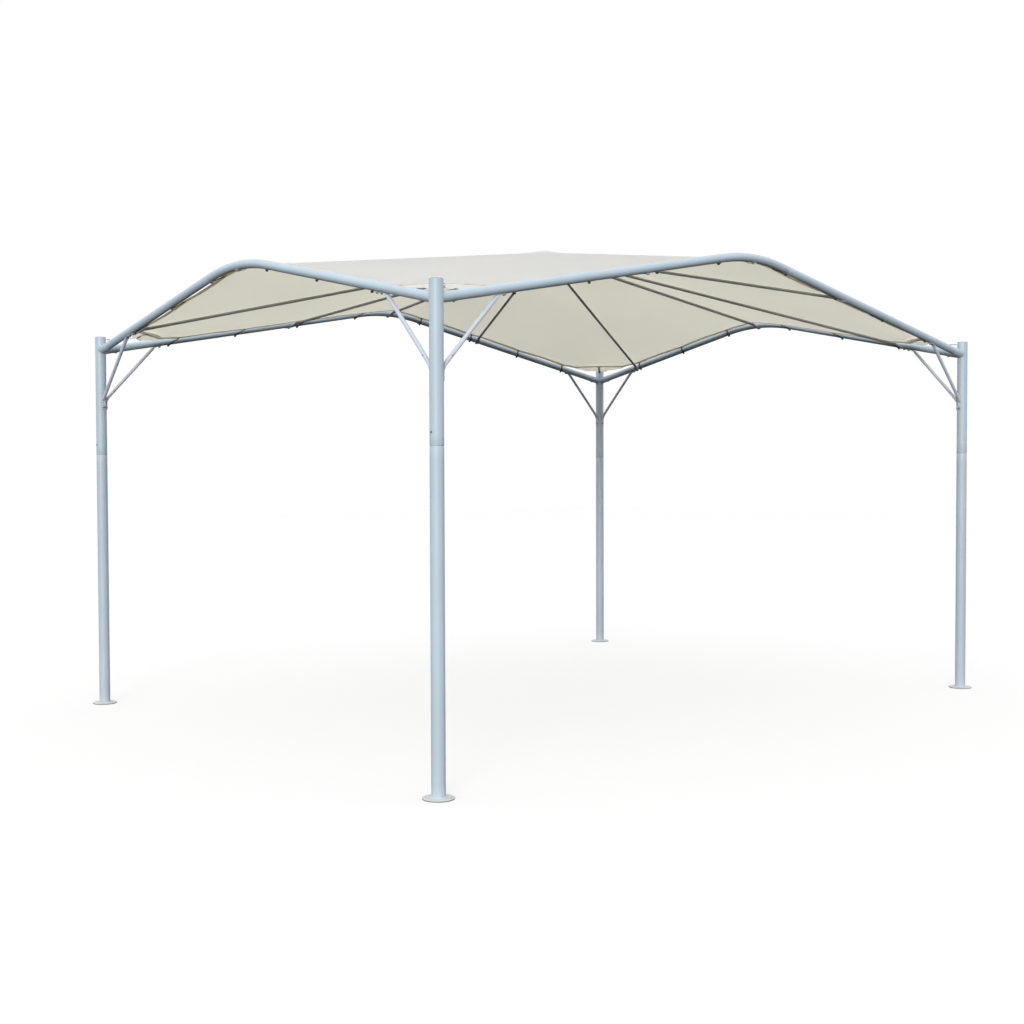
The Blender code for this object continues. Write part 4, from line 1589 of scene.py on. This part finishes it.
def make_floor():
    mesh = bpy.data.meshes.new("studio_floor")
    half = FLOOR_HALF
    bm = bmesh.new()
    corners = [bm.verts.new((x * half, y * half, 0.0)) for x, y in ((-1, -1), (1, -1), (1, 1), (-1, 1))]
    bm.faces.new(corners)
    bm.to_mesh(mesh)
    bm.free()
    floor = bpy.data.objects.new("studio_floor", mesh)
    bpy.context.scene.collection.objects.link(floor)
    finish = Finish("studio_floor")
    finish.shader.inputs["Base Color"].default_value = (*FLOOR_DIFFUSE, 1.0)
    finish.shader.inputs["Roughness"].default_value = 1.0
    finish.shader.inputs["Specular IOR Level"].default_value = 0.0
    finish.shader.inputs["Emission Color"].default_value = (1.0, 1.0, 1.0, 1.0)
    finish.shader.inputs["Emission Strength"].default_value = FLOOR_GLOW
    mesh.materials.append(finish.material)
    floor.visible_diffuse = False
    floor.visible_glossy = False
    floor.visible_transmission = False


def make_world():
    """Bright even sky from above, a dim ground from below, and plain white behind the object."""
    world = bpy.data.worlds.new("studio")
    bpy.context.scene.world = world
    world.use_nodes = True
    nodes = world.node_tree.nodes
    links = world.node_tree.links
    nodes.clear()
    place = nodes.new("ShaderNodeTexCoord")
    parts = nodes.new("ShaderNodeSeparateXYZ")
    links.new(place.outputs["Generated"], parts.inputs["Vector"])
    ramp = nodes.new("ShaderNodeMapRange")
    ramp.interpolation_type = "SMOOTHSTEP"
    ramp.inputs["From Min"].default_value = HORIZON_LOW
    ramp.inputs["From Max"].default_value = HORIZON_HIGH
    ramp.inputs["To Min"].default_value = GROUND_LIGHT
    ramp.inputs["To Max"].default_value = SKY_LIGHT
    links.new(parts.outputs["Z"], ramp.inputs["Value"])
    lit = nodes.new("ShaderNodeBackground")
    lit.inputs["Color"].default_value = (*SKY_COLOUR, 1.0)
    links.new(ramp.outputs["Result"], lit.inputs["Strength"])
    seen = nodes.new("ShaderNodeBackground")
    seen.inputs["Color"].default_value = (1.0, 1.0, 1.0, 1.0)
    path = nodes.new("ShaderNodeLightPath")
    choice = nodes.new("ShaderNodeMixShader")
    links.new(path.outputs["Is Camera Ray"], choice.inputs["Fac"])
    links.new(lit.outputs["Background"], choice.inputs[1])
    links.new(seen.outputs["Background"], choice.inputs[2])
    output = nodes.new("ShaderNodeOutputWorld")
    links.new(choice.outputs["Shader"], output.inputs["Surface"])
    bpy.context.scene.view_settings.view_transform = "Standard"


def make_light():
    data = bpy.data.lights.new("soft_box", "AREA")
    data.shape = "DISK"
    data.size = SOFT_BOX_SIZE
    data.energy = SOFT_BOX_POWER
    lamp = bpy.data.objects.new("soft_box", data)
    lamp.matrix_world = facing(Vector(SOFT_BOX_PLACE), Vector(SOFT_BOX_PLACE) - Vector(SOFT_BOX_AIM))
    bpy.context.scene.collection.objects.link(lamp)


def make_camera():
    data = bpy.data.cameras.new("camera")
    data.lens = CAMERA_LENS
    data.sensor_width = 36.0
    right = Vector((math.cos(CAMERA_YAW), -math.sin(CAMERA_YAW), 0.0))
    ahead = Vector((
        math.sin(CAMERA_YAW) * math.cos(CAMERA_PITCH),
        math.cos(CAMERA_YAW) * math.cos(CAMERA_PITCH),
        math.sin(CAMERA_PITCH),
    ))
    over = right.cross(ahead)
    side = right * math.cos(CAMERA_ROLL) + over * math.sin(CAMERA_ROLL)
    top = over * math.cos(CAMERA_ROLL) - right * math.sin(CAMERA_ROLL)
    turn = Matrix((side, top, -ahead)).transposed()
    camera = bpy.data.objects.new("camera", data)
    camera.matrix_world = Matrix.Translation(CAMERA_PLACE) @ turn.to_4x4()
    bpy.context.scene.collection.objects.link(camera)
    bpy.context.scene.camera = camera


def build():
    make_camera()
    make_world()
    make_light()
    make_floor()
    frame_paint = powder_paint("frame_powder_paint", FRAME_COLOUR)
    brace_paint = powder_paint("brace_powder_paint", BRACE_COLOUR)
    # The spokes' paint is a shaded copy of the frame's paint: painted shade under the roof.
    spoke_paint = powder_paint("spoke_powder_paint_painted_shade", SPOKE_SHADED_COLOUR)
    steel = zinc("bolt_steel", BOLT_COLOUR, 0.34)
    plated = zinc("eyelet_metal", EYELET_COLOUR, 0.28)
    cap_plastic = moulded("cap_plastic", CAP_COLOUR, 0.42)
    button_plastic = moulded("button_plastic", BUTTON_COLOUR, 0.38)
    elastic = ribbed("elastic_braid", ELASTIC_COLOUR, 0.0016, "Z", 0.15)
    webbing = ribbed("strap_webbing", WEBBING_COLOUR, 0.0022, "X", 0.2)
    thread = ribbed("hem_thread", THREAD_COLOUR, 0.0006, "X", 0.1)
    fabric = woven_cloth("roof_cloth", CLOTH_COLOUR, CLOTH_GLOW, CLOTH_THROUGH)
    hem_fabric = woven_cloth("hem_cloth", HEM_COLOUR, HEM_GLOW, HEM_THROUGH)

    bolts = make_posts(frame_paint, cap_plastic)
    new_piece("post_bolts", bolts, steel, "frame_paint")
    bolts = bmesh.new()
    make_beams(frame_paint, bolts)
    new_piece("beam_bolts", bolts, steel, "frame_paint")
    bolts = bmesh.new()
    rivets = make_braces(brace_paint, bolts)
    new_piece("brace_bolts", bolts, steel, "brace_paint")
    new_piece("brace_rivets", rivets, steel, "brace_paint")
    bolts = bmesh.new()
    make_spokes(spoke_paint, bolts)
    new_piece("spoke_bolts", bolts, steel, "spoke_paint")
    new_piece("hub_screws", make_hub(frame_paint), steel, "frame_paint")

    cloth = Cloth()
    sheet = make_sheet(cloth, fabric, hem_fabric)
    on_sheet = make_seams(cloth, fabric, thread)
    on_sheet += make_ties(cloth, button_plastic, elastic, plated)
    on_sheet += make_corners(cloth, fabric, webbing, plated, thread)


build()
